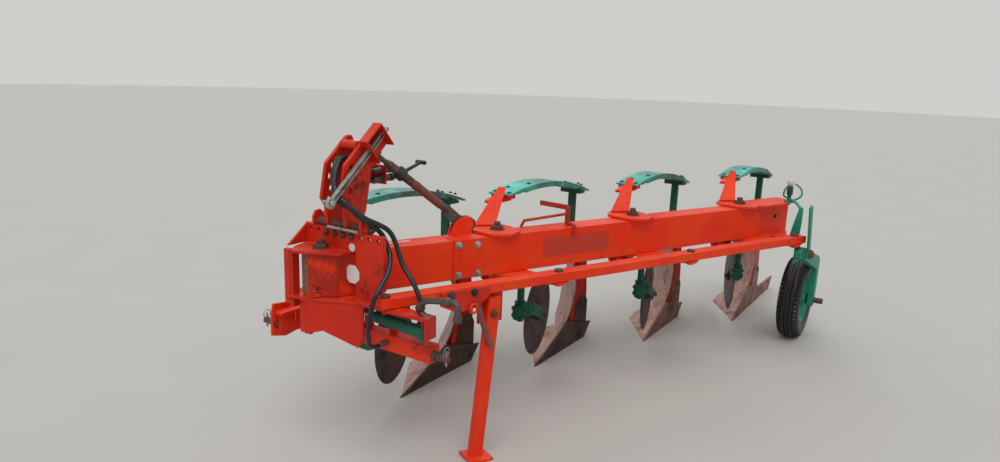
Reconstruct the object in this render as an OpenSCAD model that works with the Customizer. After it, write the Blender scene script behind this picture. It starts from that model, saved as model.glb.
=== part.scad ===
// Four-furrow mounted mouldboard plough with leaf-spring stone trip and
// hydraulic width setting. X points forward, Y to the land side, Z up.
// Inside the modules the origin is the headstock pivot, on the ground.

/* [Layout] */
// distance between two plough bodies along the beam
body_pitch = 850; // [800:10:900]
// angle between the beam and the travel direction as parked
beam_angle = 24; // [22:1:26]
// sideways distance from a beam pivot to its steering bar pivot
link_arm = 322; // [312:5:332]
// steering bar pivot behind the beam pivot
link_back = 30; // [20:5:40]
// share point behind the unit pivot
tip_back = 654; // [644:2:664]
// share point to the furrow side of the unit pivot
tip_side = 132; // [126:2:138]

/* [Main beam] */
// height of the beam's underside
beam_z = 757; // [750:1:764]
// height of the beam section
beam_h = 180; // [170:5:190]
// width of the beam section
beam_w = 120; // [110:5:125]
// wall thickness of the beam section
beam_wall = 10; // [8:1:12]
// beam front face to the land side of the pivots
beam_face = 75; // [70:1:78]
// beam end behind the last unit pivot
beam_tail = 100; // [90:5:110]
// beam nose ahead of the headstock pivot
beam_nose = 64; // [60:1:70]

/* [Steering bar] */
// width of the steering bar
bar_w = 70; // [60:5:76]
// height of the steering bar
bar_h = 40; // [36:2:44]
// bar length ahead of its first pivot
bar_nose = 30; // [28:1:36]
// bar length behind its last pivot
bar_tail = 60; // [50:5:80]

/* [Plates and pins] */
// thickness of the unit plates
plate_t = 12; // [10:1:14]
// gap between parts that swing past each other
swing_gap = 2; // [1.5:0.5:3]
// diameter of the vertical unit pins
pin_d = 36; // [32:2:40]
// diameter of the steering bar bolts
bar_bolt_d = 24; // [20:2:26]
// radial clearance of a pin in its bore
pin_play = 0.5; // [0.3:0.1:1]

/* [Plough body] */
// radius of the mouldboard's curve
board_r = 400; // [390:5:410]
// thickness of the mouldboard
board_t = 8; // [6:1:10]
// share edge angle from the travel direction
share_angle = 35; // [34:1:36]
// slope of the share at its cutting edge
share_slope = 20; // [18:1:22]
// height where share and mouldboard meet
share_h = 105; // [95:5:115]
// height of the mouldboard's top
board_top = 560; // [540:10:570]
// thickness of the landside
landside_t = 12; // [10:1:14]
// length of the landside
landside_l = 700; // [680:10:720]
// thickness of the leg
leg_t = 32; // [28:1:36]

/* [Leaf spring] */
// width of the leaf spring
spring_w = 130; // [120:5:134]
// thickness of one leaf
leaf_t = 9; // [8:1:10]
// number of leaves
leaves = 3; // [3:1:3]
// height of the spring's front end
spring_front_z = 1074; // [1070:2:1080]
// length of the spring seen from above
spring_l = 880; // [870:5:890]
// height of the spring's arch above its chord
spring_rise = 60; // [56:2:64]

/* [Disc coulter] */
// diameter of the coulter disc
disc_d = 460; // [440:5:470]
// thickness of the coulter disc
disc_t = 5; // [4:1:6]
// height of the disc's axle
disc_z = 340; // [335:5:350]
// diameter of the coulter stalk
stalk_d = 38; // [34:2:42]

/* [Depth wheel] */
// outer diameter of the tyre
tyre_d = 536; // [530:2:540]
// width of the tyre
tyre_w = 136; // [130:2:140]
// diameter of the rim
rim_d = 320; // [310:5:330]

/* [Headstock] */
// height of the mast's top
mast_top = 1400; // [1390:5:1410]
// free width between the two mast plates
mast_gap = 86; // [80:2:90]
// thickness of a mast plate
mast_t = 16; // [14:1:18]
// diameter of the top link holes
top_hole_d = 25.8; // [25.6:0.1:26.4]
// diameter of the lower hitch pins
hitch_d = 28; // [28:0.1:28.6]
// number of holes in the cross plate
row_holes = 9; // [9:1:9]
// distance between two of those holes
row_pitch = 47; // [46:1:48]

/* [Width cylinder] */
// outer diameter of the cylinder's barrel
barrel_d = 50; // [46:2:54]
// diameter of the cylinder's rod
rod_d = 28; // [26:2:30]

/* [Parking stand] */
// width of the stand's leg
stand_w = 60; // [56:2:64]
// thickness of the stand's leg
stand_t = 30; // [26:2:34]

/* [Hidden] */
$fn = 48;
// working origin to the middle of the whole plough
gx = 1979.8;
gy = -516.6;

units = [1, 2, 3, 4];
moving_units = [2, 3, 4];
body_parts = ["leaf_spring", "strut", "leg", "mouldboard", "share", "landside", "coulter_arm", "coulter_disc"];
single_parts = ["headstock_frame", "hitch_arm_right", "hitch_arm_left", "mast", "mast_bracket", "top_link_bar",
                "main_beam", "swing_lever", "beam_rod", "steering_bar", "stand_bracket", "stand_leg", "stay",
                "cylinder_barrel", "cylinder_rod", "wheel_bracket", "wheel_arm", "wheel_screw", "wheel_rim", "tyre",
                "hose_front", "hose_rear", "couplers"];

function unit_pos(k) = [-(k - 1) * body_pitch * cos(beam_angle), (k - 1) * body_pitch * sin(beam_angle), 0];
last = len(units) - 1;
beam_top = beam_z + beam_h;
low_plate_z = beam_z - swing_gap - plate_t;
top_plate_z = beam_top + swing_gap;
top_pin_z = top_plate_z + plate_t;
bar_z = beam_z + swing_gap;
pin_head = pin_d + 16;
bolt_head = 16;

module placed() translate([gx, gy, 0]) children();
module plate(points, z, t) translate([0, 0, z]) linear_extrude(t) polygon(points);
module pin(z0, z1, d) translate([0, 0, z0]) cylinder(d = d, h = z1 - z0);
module hex(z0, z1, d) translate([0, 0, z0]) cylinder(d = d, h = z1 - z0, $fn = 6);
module at_unit(k) translate(unit_pos(k)) children();
module at_bar() translate([-link_back, link_arm, 0]) on_beam() children();
module on_beam() rotate([0, 0, -beam_angle]) children();
// a bar along X and a plate that stands on edge, both starting at a given place
module lying_y(p, d, l) translate(p) rotate([-90, 0, 0]) cylinder(d = d, h = l);
module upright_x(points, x, t) translate([x, 0, 0]) rotate([90, 0, 90]) linear_extrude(t) polygon(points);
module upright_y(points, y, t) translate([0, y + t, 0]) rotate([90, 0, 0]) linear_extrude(t) polygon(points);
module rod_between(a, b, d) {
  v = b - a;
  translate(a) rotate([0, acos(v[2] / norm(v)), atan2(v[1], v[0])]) cylinder(d = d, h = norm(v));
}

// lugs that take the stay's foot, in beam directions
lug_u = -690;
lug_v = -22;
lug_turn = 5.8;
// main beam: a welded box whose tapered nose swings on the headstock pin
module main_beam() color("orangered") on_beam() {
  difference() {
    union() {
      difference() {
        translate([-last * body_pitch - beam_tail, beam_face - beam_w, beam_z])
          cube([beam_nose + last * body_pitch + beam_tail, beam_w, beam_h]);
        translate([-last * body_pitch - beam_tail - 1, beam_face - beam_w + beam_wall, beam_z + beam_wall])
          cube([last * body_pitch + beam_tail - 60, beam_w - 2 * beam_wall, beam_h - 2 * beam_wall]);
        plate([[beam_nose + 1, beam_face - 42], [beam_nose + 1, beam_face + 1], [-40, beam_face + 1]],
              beam_z - 1, beam_h + 2);
      }
      for (k = moving_units) translate([-(k - 1) * body_pitch, 0, 0])
        pin(beam_z + beam_wall - 1, beam_top - beam_wall + 1, pin_d + 26);
    }
    for (k = moving_units) translate([-(k - 1) * body_pitch, 0, 0]) pin(beam_z - 1, beam_top + 1, pin_d + 2 * pin_play);
    pin(beam_z - 1, beam_top + 1, pin_d + 6.4);
  }
  // lugs of the stay, turned to the middle of its swing
  translate([lug_u, lug_v, 0]) rotate([0, 0, -lug_turn]) {
    for (s = [-1, 1]) upright_y([[-16, beam_top - 1], [80, beam_top - 1], [60, beam_top + 60], [30, beam_top + 84],
                                 [-20, beam_top + 84], [-30, beam_top + 60], [-30, beam_top + 36], [-16, beam_top + 20]],
                                s * 17 - 5, 10);
    lying_y([0, -22, beam_top + 46], stay_pin_d, 44);
  }
}

// headstock pin, turned by the beam, and the lever under it that the width cylinder works on
lever_eye = [-118, -10, 657];
lever_t = 22;
module swing_lever() color("gray") {
  pin(lever_eye[2] + lever_t / 2, top_pin_z, pin_d + 6);
  hex(top_pin_z, top_pin_z + bolt_head, pin_head);
  difference() {
    translate([0, 0, lever_eye[2] - lever_t / 2]) linear_extrude(lever_t)
      polygon([[36, -30], [36, 30], [-20, 42], [-140, 16], [-146, -10], [-140, -36], [-20, -42]]);
    translate(lever_eye - [0, 0, lever_t]) cylinder(d = rod_d + 2 * pin_play, h = 2 * lever_t);
  }
}

// hooked holder that lies on the beam
holder_d = 14;
holder_route = [[-995, -17, beam_top + 7.3], [-1010, -10, 976], [-1258, 2, 992]];
// its foot: a rod that hooks over the beam's front edge
hook_route = [[-1262, 4, beam_top + 12], [-1250, beam_face + 7.4, beam_top + 9], [-1244, beam_face + 7.4, beam_top - 40]];
module beam_rod() color("orangered") on_beam() {
  for (r = [holder_route, hook_route]) {
    for (i = [0:len(r) - 2]) rod_between(r[i], r[i + 1], holder_d);
    for (i = [1:len(r) - 2]) translate(r[i]) sphere(d = holder_d + 1);
  }
  translate([-1268, -8, beam_top + 0.4]) cube([14, 24, 92]);
  translate([-1211, -165, 1010]) rotate([0, 0, 108]) cube([174, 8, 24]);
}
// bracket of one unit: plates above and below the beam, the pin between them and the prong
top_plate_points = [[86, -104], [112, 40], [50, 112], [-40, 104], [-96, 20], [-110, -64], [-60, -118], [30, -130]];
link_points = [[58, -66], [58, 40], [8, link_arm + 34], [-66, link_arm + 34], [-96, 60], [-420, -8], [-420, -204],
               [-150, -204], [-60, -120]];
// leaf spring pack: arcs of one radius family, each lower leaf shorter
spring_y = -141;
spring_x = -224;
leaf_gap = 0.3;
spring_drop = 80;
leaf_step = 75;
spring_chord = norm([spring_l, spring_drop]);
spring_r = (pow(spring_chord / 2, 2) + pow(spring_rise, 2)) / (2 * spring_rise);
spring_tilt = atan(spring_drop / spring_l);
// keeps what lies under the first n leaves
module under_leaves(n) intersection() {
  children();
  translate([spring_x, spring_y + spring_w, spring_front_z]) rotate([90, -spring_tilt, 0])
    translate([-spring_chord / 2, spring_rise - spring_r, 0]) cylinder(r = spring_r - n * (leaf_t + leaf_gap), h = 2 * spring_w,
                                                                     $fn = 180);
}
seat_x = -290;
module spring_seat() under_leaves(1) {
  translate([seat_x, spring_y - 30, spring_front_z - 40]) cube([150, 60, 80]);
  translate([seat_x, spring_y - spring_w / 2 + 10, spring_front_z - 26]) cube([56, spring_w - 20, 60]);
}
arm_y = -165;
cheek_gap = 2;
module arm_cheeks() {
  for (s = [-1, 1]) upright_y([[-160, low_plate_z], [-160, 640], [-210, 600], [-330, 600], [-410, 680], [-410, low_plate_z]],
                              arm_y + s * (leg_t / 2 + cheek_gap + 6) - 6, 12);
  lying_y([-240, arm_y - leg_t / 2 - 30, 650], 40, leg_t + 60);
}
module prong() {
  // plate leaning back to the front end of the spring, with a rib under the spring
  difference() {
    translate([20, -119, top_pin_z - 1]) rotate([40.3, 0, 132]) linear_extrude(12) polygon([[0, 0], [101, 0], [176, 235], [136, 235]]);
    translate([spring_x - 199.5, -400, 1000]) cube([200, 500, 200]);
  }
  spring_seat();
}
module spring_support() {
  under_leaves(1) upright_y([[-62, top_pin_z - 1], [-62, cross_top], [-224, 1100], [-300, 1100], [-300, 1040],
                             [-150, top_pin_z - 1]], cross_y0, 12);
  spring_seat();
}
module unit_plates(own_pin) {
  difference() {
    plate(own_pin ? top_plate_points : head_top_points, top_plate_z, plate_t);
    if (!own_pin) pin(top_plate_z - 1, top_pin_z + 1, pin_d + 6 + 2 * pin_play);
  }
  difference() {
    plate(own_pin ? link_points : head_link_points, low_plate_z, plate_t);
    if (!own_pin) pin(low_plate_z - 1, beam_z, pin_d + 6 + 2 * pin_play);
  }
  if (own_pin) {
    pin(low_plate_z - 1, top_pin_z + 1, pin_d);
    hex(top_pin_z, top_pin_z + bolt_head, pin_head);
    hex(low_plate_z - 22, low_plate_z, pin_head);
  }
  // bolt of the steering bar
  translate([-link_back, link_arm, 0]) {
    pin(low_plate_z, bar_z + bar_h, bar_bolt_d);
    hex(bar_z + bar_h + 1, bar_z + bar_h + 9, bar_bolt_d + 12);
    pin(bar_z + bar_h - 1, bar_z + bar_h + 2, bar_bolt_d);
    hex(low_plate_z - 12, low_plate_z, bar_bolt_d + 8);
  }
  arm_cheeks();
}
module unit_bracket(k) color("orangered") at_unit(k) {
  unit_plates(true);
  prong();
  if (k == 4) {
    end_box();
    plate([[-60, 200], [-60, link_arm + 34], [-160, link_arm + 34], [-160, 200]], low_plate_z, plate_t);
  }
}
// roof, floor and wall that carry the depth wheel behind the beam's end
wall_u0 = -132;
wall_u1 = -420;
roof_points = [[-50, -60], [-50, 115], [-321, 115], [-425, 40], [-425, -60]];
module end_box() on_beam() {
  for (z = [low_plate_z, top_plate_z]) difference() {
    plate(roof_points, z, plate_t);
    pin(z - 1, z + plate_t + 1, pin_d);
  }
  difference() {
    translate([wall_u1, 20, low_plate_z + 1]) cube([wall_u0 - wall_u1, plate_t, top_plate_z - low_plate_z]);
    lying_y([-300, 19, 858], 30, plate_t + 2);
  }
}

module leaf(n) {
  half = asin((spring_chord / 2 - n * leaf_step) / spring_r);
  outer = spring_r - n * (leaf_t + leaf_gap);
  translate([spring_x, spring_y + spring_w / 2, spring_front_z]) rotate([90, -spring_tilt, 0])
    translate([-spring_chord / 2, spring_rise - spring_r, 0]) rotate([0, 0, 90 - half])
      rotate_extrude(angle = 2 * half, $fn = 180) translate([outer - leaf_t, 0]) square([leaf_t, spring_w]);
}
module leaf_spring(k) color("mediumaquamarine") at_unit(k) for (n = [0:leaves - 1]) leaf(n);

strut_x = -1015;
strut_z = 735.3;
strut_top = 996;
module strut(k) color("seagreen") at_unit(k) {
  translate([strut_x - 14, spring_y - 20, strut_z]) cube([28, 40, strut_top - strut_z]);
  translate([strut_x - 45, arm_y - leg_t / 2, strut_z]) cube([90, 60, 12]);
  under_leaves(2) translate([strut_x - 30, spring_y - spring_w / 2, strut_top - 12]) cube([60, spring_w, 60]);
}
// plough bodies, placed at the share point
module at_tip(k) at_unit(k) translate([-tip_back, -tip_side, 0]) children();
module board_frame() rotate([0, 0, 180 + share_angle]) children();
module board_round(r) translate([0, board_r * sin(share_slope), board_r * cos(share_slope)]) rotate([0, 90, 0])
  translate([0, 0, -60]) cylinder(r = r, h = 1100, $fn = 360);
module board_shell(t, outline) board_frame() intersection() {
  difference() {
    board_round(board_r + t);
    translate([-1, 0, 0]) board_round(board_r);
    translate([1, 0, 0]) board_round(board_r);
  }
  translate([0, 6, 0]) rotate([90, 0, 0]) linear_extrude(330) polygon(outline);
}
module furrow_side() translate([-1500, -1500 - landside_t, -10]) cube([2000, 1500, 900]);
board_outline = [[-40, share_h], [470, share_h], [600, 120], [840, 220], [900, 330], [820, 470],
                 [600, board_top - 20], [420, board_top], [-40, board_top]];
share_outline = [[-40, 0], [460, 0], [520, 24], [530, 50], [440, share_h - 1], [-40, share_h - 1]];
module mouldboard(k) color("rosybrown") at_tip(k) intersection() {
  board_shell(board_t, board_outline);
  furrow_side();
}
module share(k) color("sienna") at_tip(k) intersection() {
  board_shell(board_t + 2, share_outline);
  furrow_side();
}
long_landside = 1080;
// tab that covers the leg's foot behind the landside
tab_points = [[-655, 80], [-658, 236], [-636, 268], [-600, 288], [-560, 292], [-530, 274], [-512, 238], [-480, 90]];
tab_t = 4.6;
module landside(k) {
  l = k == 4 ? long_landside : landside_l;
  color("saddlebrown") at_tip(k) {
    upright_y([[0, 0], [-l + 80, 0], [-l, 88], [-640, 100], [-372, 172], [-300, 132], [-90, 36]], -landside_t, landside_t);
    upright_y(tab_points, -landside_t - tab_t, tab_t + 1);
  }
}
leg_points = [[-640, 96], [-650, 300], [-620, 560], [-560, 700], [-420, 735], [-330, 735], [380, 680], [480, 680],
              [480, 610], [360, 600], [-400, 640], [-500, 560], [-540, 420], [-470, 250], [-440, 120], [-300, 90],
              [-300, 60], [-600, 40], [-640, 60]];
module leg(k) color("red") at_tip(k) difference() {
  upright_y(leg_points, arm_y + tip_side - leg_t / 2, leg_t);
  intersection() {
    board_frame() board_round(board_r + board_t + 2.3);
    translate([-1500, -1500, -10]) cube([3000, 3000, board_top + 15]);
  }
  translate([tip_back - 240, arm_y, 0]) lying_y([0, 0, 650], 40.6, 400);
}

// disc coulters, each swivelled a little differently on its stalk
stalk_x = 314;
stalk_y = 72;
hub_back = 284;
hub_side = 4;
coulter_turns = [18, 12, 13, 24];
block_z = 400;
module at_coulter(k) at_tip(k) translate([stalk_x, stalk_y, 0]) rotate([0, 0, coulter_turns[k - 1]]) children();
module coulter_arm(k) color("darkgreen") at_coulter(k) {
  pin(block_z, low_plate_z - 0.3, stalk_d);
  pin(block_z + 84, block_z + 96, stalk_d + 26);
  translate([-42, -32, block_z]) cube([84, 64, 84]);
  upright_y([[-hub_back - 38, disc_z - 22], [-hub_back - 38, disc_z + 30], [-hub_back + 60, disc_z + 80], [-30, block_z + 84],
             [-30, block_z], [-hub_back + 90, block_z - 16], [-hub_back + 30, disc_z - 34], [-hub_back - 20, disc_z - 38]], 28, 22);
  lying_y([-hub_back, hub_side - 26, disc_z], 22, 50);
}
module coulter_disc(k) color("dimgray") at_coulter(k) difference() {
  union() {
    lying_y([-hub_back, hub_side - disc_t / 2, disc_z], disc_d, disc_t);
    lying_y([-hub_back, hub_side - 18, disc_z], 76, 36);
  }
  lying_y([-hub_back, hub_side - 30, disc_z], 22 + 2 * pin_play, 60);
}

// steering bar with its bores over the bracket bolts
module steering_bar() color("orangered") at_bar() difference() {
  translate([-last * body_pitch - bar_tail, -bar_w / 2, bar_z]) cube([bar_nose + last * body_pitch + bar_tail, bar_w, bar_h]);
  for (k = units) translate([-(k - 1) * body_pitch, 0, 0]) pin(bar_z - 1, bar_z + bar_h + 1, bar_bolt_d + 2 * pin_play);
}

// headstock: row plate, clevis plates round the beam's nose, web and link to the bar
cross_x = -61;
cross_t = 16;
cross_y0 = -135;
cross_y1 = 301;
cross_top = 1032;
cross_leg_y = 150;
head_top_points = [[48, -100], [104, -60], [82, 12], [8, 128], [-30, 130], [-140, 96], [-200, -60], [-200, -128], [-60, -130]];
head_link_points = [[80, -14], [60, 40], [-14, 192], [-10, 368], [-26, 535], [-84, 535], [-84, 300], [-172, 290], [-172, 40],
                    [-420, -8], [-420, -204], [-150, -204], [-60, -130], [48, -125], [96, -110]];
module headstock_frame() color("red") {
  difference() {
    union() {
      translate([cross_x, cross_y0, top_pin_z - 1]) cube([cross_t, cross_y1 - cross_y0, cross_top - top_pin_z + 1]);
      translate([cross_x, cross_leg_y, low_plate_z + 1]) cube([cross_t, cross_y1 - cross_leg_y, cross_top - low_plate_z - 20]);
    }
    for (n = [0:row_holes - 1]) translate([cross_x - 1, cross_y0 + 30 + n * row_pitch, cross_top - 22])
      rotate([0, 90, 0]) cylinder(d = 20, h = cross_t + 2);
    // notch for the nose of the steering bar
    translate([cross_x - 1, 280, bar_z - 1]) cube([cross_t + 2, 40, bar_h + 12]);
  }
  unit_plates(false);
  spring_support();
  cross_bar_cheeks();
  // gusset from the row plate down to the furrow side corner
  upright_y([[-50, top_pin_z - 1], [-50, cross_top], [60, top_pin_z - 1]], cross_y0, 10);
  // two flat bars that tie the clevis plates on the furrow side
  translate([62, -129, low_plate_z - 30]) cube([18, 34, top_plate_z - low_plate_z + 34]);
  translate([46, -90, low_plate_z - 40]) cube([36, 13, top_plate_z - low_plate_z + 50]);
  head_web();
  // outer bracket of the width cylinder at the end of the link plate, and the pin of its barrel
  translate([-84, 523, 668]) cube([58, 12, 80]);
  translate([barrel_eye[0], barrel_eye[1], 0]) pin(barrel_eye[2] - 34, low_plate_z + 1, eye_pin_d);
}
// plates down to the cross bar of the lower hitch
bar_top = 606;
module cross_bar_cheeks() for (y = [-76, 127, 262])
  translate([-165, y, bar_top]) cube([43, 12, low_plate_z + 1 - bar_top]);
module head_web() {
  // tapered web under the front edge of the link plate, with its end flange
  translate([75, 0, 0]) rotate([90, 0, 115.7]) translate([0, 0, -12]) linear_extrude(12)
    polygon([[-14, low_plate_z + 1], [-14, 600], [62, 620], [212, 557], [232, 600], [232, low_plate_z + 1]]);
  translate([52, -60, 596]) cube([12, 62, low_plate_z - 595]);
}

hitch_z = 566;
module hitch_arm_right() color("orangered") {
  translate([-165, -288, 535]) cube([55, 778, bar_top - 0.3 - 535]);
  lying_y([-130, 480, hitch_z], 44, 22);
  lying_y([-130, 500, hitch_z], hitch_d, 62);
}
module hitch_arm_left() color("orangered") {
  difference() {
    upright_y([[-175, 493], [-112, 497], [-52, 487], [22, 508], [19, 611], [9, 650], [-60, 642], [-175, 630]], -300.3, 12);
    translate([-165.3, -302, 534.7]) cube([55.6, 16, 72]);
  }
  translate([-150, -288.3, bar_top]) cube([159, 50, 12]);
  translate([-60, -288.3, 520]) cube([50, 14, 86]);
  lying_y([-10, -370, hitch_z - 10], hitch_d, 70);
}
mast_outline = [[-24, 1050], [-17, 1126], [7, 1159], [-21, mast_top - 103], [-128, mast_top - 9], [-142, mast_top], [-160, mast_top],
                [-170, mast_top - 12], [-171, mast_top - 120],
                [-136, 1102], [-100, 1034], [-60, 1034]];
mast_holes = [[-57, mast_top - 115], [-40, mast_top - 157], [-46, mast_top - 206], [-34, mast_top - 249]];
mast_y = 5;
module mast() color("red") {
  difference() {
    union() for (s = [0, 1]) upright_y(mast_outline, mast_y + s * (mast_gap + mast_t), mast_t);
    for (h = mast_holes) lying_y([h[0], mast_y - 1, h[1]], top_hole_d, mast_gap + 2 * mast_t + 2);
  }
  lying_y([-110, mast_y + mast_t - 1, mast_top - 34], 40, mast_gap + 2);
  lying_y([-53, -70, cross_top + 16.3], 32, 290);
  coupler_rack();
  // two lugs that hold the pin of the stay
  for (z = [stay_top[2] - 46, stay_top[2] + 18]) difference() {
    plate([[-146, mast_y], [-146, mast_y + mast_gap + 2 * mast_t], [-171, mast_y + mast_gap + 2 * mast_t], [-226, 84], [-262, 84],
           [-276, 70], [-276, 46], [-262, 32], [-226, 32], [-171, mast_y]], z, 10);
    translate([stay_top[0], stay_top[1], 0]) pin(z - 1, z + 11, stay_eye_d + 2 * pin_play);
  }
}
// plate on the far mast plate with a bore for each coupler
module coupler_rack() difference() {
  union() {
    upright_y([[-130, 1224], [-130, 1262], [-334, 1262], [-334, 1180], [-300, 1180]], mast_y, 8);
    translate([-334, mast_y, 1180]) cube([8, 50, 82]);
  }
  for (r = [front_route, rear_route]) translate([-340, r[0][1], r[0][2]]) rotate([0, 90, 0]) cylinder(d = coupler_d + 0.6, h = 20);
}
// channel that holds the upper end of the hooked bar: web, two flanges across the bar and a cap
bar_low = [90, 145, 1156];
bar_high = [-205, 145, mast_top + 7];
module mast_bracket() color("red") translate([bar_high[0], mast_y + mast_gap + 2 * mast_t + 0.3, bar_high[2]])
  rotate([0, -atan2(bar_low[0] - bar_high[0], bar_high[2] - bar_low[2]), 0]) difference() {
    union() {
      translate([-62, 0, -96]) cube([116, 6, 110]);
      for (z = [-96, 8]) translate([-62, 0, z]) cube([116, 44, 6]);
      translate([48, 0, -96]) cube([6, 44, 110]);
    }
    translate([0, bar_low[1] - mast_y - mast_gap - 2 * mast_t - 0.3, -100]) cylinder(d = link_bar_d + 1, h = 40);
  }
link_bar_d = 22;
module top_link_bar() color("silver") {
  rod_between(bar_low, bar_high, link_bar_d);
  lying_y([bar_low[0], bar_low[1] - 40, bar_low[2]], 16, 52);
}

// stay from the mast down to the lugs on the beam; its slotted foot slides on their pin
stay_top = [-250, 58, mast_top - 75];
stay_foot = [lug_u * cos(beam_angle) + lug_v * sin(beam_angle), lug_v * cos(beam_angle) - lug_u * sin(beam_angle), beam_top + 46];
stay_d = 38;
stay_pin_d = 22;
slot_ends = [-5, 24];
module along(a, b) {
  v = b - a;
  translate(a) rotate([0, acos(v[2] / norm(v)), atan2(v[1], v[0])]) children();
}
module stay() color("indianred") {
  rod_between(stay_top + (stay_foot - stay_top) * 0.11, stay_foot + (stay_top - stay_foot) * 0.2, stay_d);
  // eye and pin at the mast
  translate([stay_top[0], stay_top[1], 0]) {
    pin(stay_top[2] - 22, stay_top[2] + 16, 46);
    pin(stay_top[2] - 54, stay_top[2] + 38, stay_eye_d);
  }
  along(stay_top, stay_foot) translate([-8, -20, 0]) cube([16, 40, 74]);
  // flat foot with a level slot for the pin of the lugs
  translate(stay_foot) rotate([0, 0, atan2(stay_foot[1] - stay_top[1], stay_foot[0] - stay_top[0])]) difference() {
    upright_y([[-106, 60], [-74, 100], [-30, 48], [40, 26], [52, 16], [52, -16], [40, -26], [-30, -26]], -6, 12);
    for (x = slot_ends) lying_y([x, -10, 0], stay_pin_d + 2, 20);
    translate([slot_ends[0], -10, -stay_pin_d / 2 - 1]) cube([slot_ends[1] - slot_ends[0], 20, stay_pin_d + 2]);
  }
}
stay_eye_d = 24;

// width cylinder between the headstock's outer bracket and the lever under the pin
barrel_eye = [-55, 496, 684];
rod_end = [lever_eye[0], lever_eye[1], barrel_eye[2]];
rod_dir = (rod_end - barrel_eye) / norm(rod_end - barrel_eye);
module cylinder_barrel() color("darkgreen") difference() {
  union() {
    rod_between(barrel_eye, barrel_eye + rod_dir * 270, barrel_d);
    translate(barrel_eye - [0, 0, 25]) cylinder(d = 50, h = 50);
    translate([-112, 434, 672]) cube([46, 24, 30]);
  }
  translate(barrel_eye - [0, 0, 30]) cylinder(d = 20 + 2 * pin_play, h = 60);
  rod_between(barrel_eye + rod_dir * 32, barrel_eye + rod_dir * 280, rod_d + 2 * pin_play);
}
module cylinder_rod() color("silver") {
  rod_between(barrel_eye + rod_dir * 60, rod_end - rod_dir * 6, rod_d);
  translate([rod_end[0], rod_end[1], 0]) {
    pin(rod_end[2] - rod_d / 2, rod_end[2] + rod_d / 2, 44);
    pin(lever_eye[2] - lever_t / 2 - 6, rod_end[2], eye_pin_d);
  }
}
eye_pin_d = 20;

// parking stand: plates on the bar and a leg that swings up along it
stand_pin = [-482, 668];
stand_foot_u = -416;
leg_v = 9;
stand_top_z = 738;
module stand_bracket() color("red") at_bar() {
  difference() {
    translate([-455, bar_w / 2 + 0.3, 0]) rotate([90, 0, 0]) translate([0, 0, -12]) linear_extrude(12)
      polygon([[0, 752], [0, bar_z + bar_h - 4], [230, bar_z + bar_h - 4], [230, 738], [150, 700], [60, 712], [25, 735]]);
    for (u = [-270, -380]) lying_y([u, 0, bar_z + bar_h / 2], 16, 60);
  }
  translate([-545, -4, 620]) cube([120, 12, bar_z - 0.3 - 620]);
  lying_y([stand_pin[0], 0, stand_pin[1]], stand_pin_d, leg_v + stand_t + 12);
}
stand_pin_d = 20;
module stand_leg() color("orangered") at_bar() difference() {
  union() {
    upright_y([[stand_foot_u - stand_w / 2, 9], [stand_foot_u + stand_w / 2, 9], [stand_pin[0] + stand_w / 2 - 7, stand_top_z],
               [stand_pin[0] - stand_w / 2 - 7, stand_top_z]], leg_v, stand_t);
    upright_y([[stand_pin[0], 0], [stand_pin[0] + 36, 0], [stand_foot_u + 48, 10], [stand_foot_u + 48, 20], [stand_pin[0] + 36, 10],
               [stand_pin[0], 10]], leg_v + stand_t / 2 - 55, 110);
  }
  lying_y([stand_pin[0], 0, stand_pin[1]], stand_pin_d + 2 * pin_play, 80);
}

// depth wheel
wheel_c = [-2968, 1302, tyre_d / 2];
arm_pivot = [-2430, 1395, 690];
arm_elbow = [-2985, 1395, 540];
arm_t = 34;
axle_d = 36;
lever_y = 1429;
module wheel_bracket() color("orangered") {
  translate([-2484, 1362, 630]) cube([98, 12, low_plate_z - 630]);
  lying_y(arm_pivot - [0, 25, 0], 30, 74);
}
module wheel_arm() color("seagreen") difference() {
  union() {
    upright_y([[arm_pivot[0] + 110, arm_pivot[2] - 8], [arm_pivot[0] + 110, arm_pivot[2] + 26], [arm_pivot[0] - 20, arm_pivot[2] + 30],
               [arm_elbow[0], arm_elbow[2] + 20], [arm_elbow[0] - 36, arm_elbow[2] - 20], [wheel_c[0] - 34, wheel_c[2] - 36],
               [wheel_c[0] + 34, wheel_c[2] - 36], [arm_elbow[0] + 40, arm_elbow[2] - 60], [arm_pivot[0] - 10, arm_pivot[2] - 36]],
              arm_pivot[1] - arm_t / 2, arm_t);
    lying_y([wheel_c[0], wheel_c[1] - 60, wheel_c[2]], axle_d, 226);
    upright_y([[arm_pivot[0] + 30, arm_pivot[2]], [-2300, 978], [-2330, 992], [-2370, 980], [arm_pivot[0] - 30, arm_pivot[2]]],
              lever_y, 10);
    lying_y([arm_pivot[0], arm_pivot[1] + arm_t / 2 - 1, arm_pivot[2]], 60, lever_y + 10 - arm_pivot[1] - arm_t / 2 + 1);
  }
  lying_y(arm_pivot - [0, 60, 0], 30 + 2 * pin_play, 140);
}
module wheel_screw() color("seagreen") {
  translate([-2592, 1258, top_pin_z]) {
    cylinder(d = 22, h = 140);
    cylinder(d = 50, h = 14);
  }
}
module wheel_rim() color("green") difference() {
  union() {
    difference() {
      lying_y(wheel_c - [0, 55, 0], rim_d, 110);
      lying_y(wheel_c + [0, 5, 0], rim_d - 24, 60);
      lying_y(wheel_c - [0, 65, 0], rim_d - 24, 60);
    }
    lying_y(wheel_c - [0, 50, 0], 90, 112);
  }
  lying_y(wheel_c - [0, 120, 0], axle_d + 2 * pin_play, 240);
}
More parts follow.
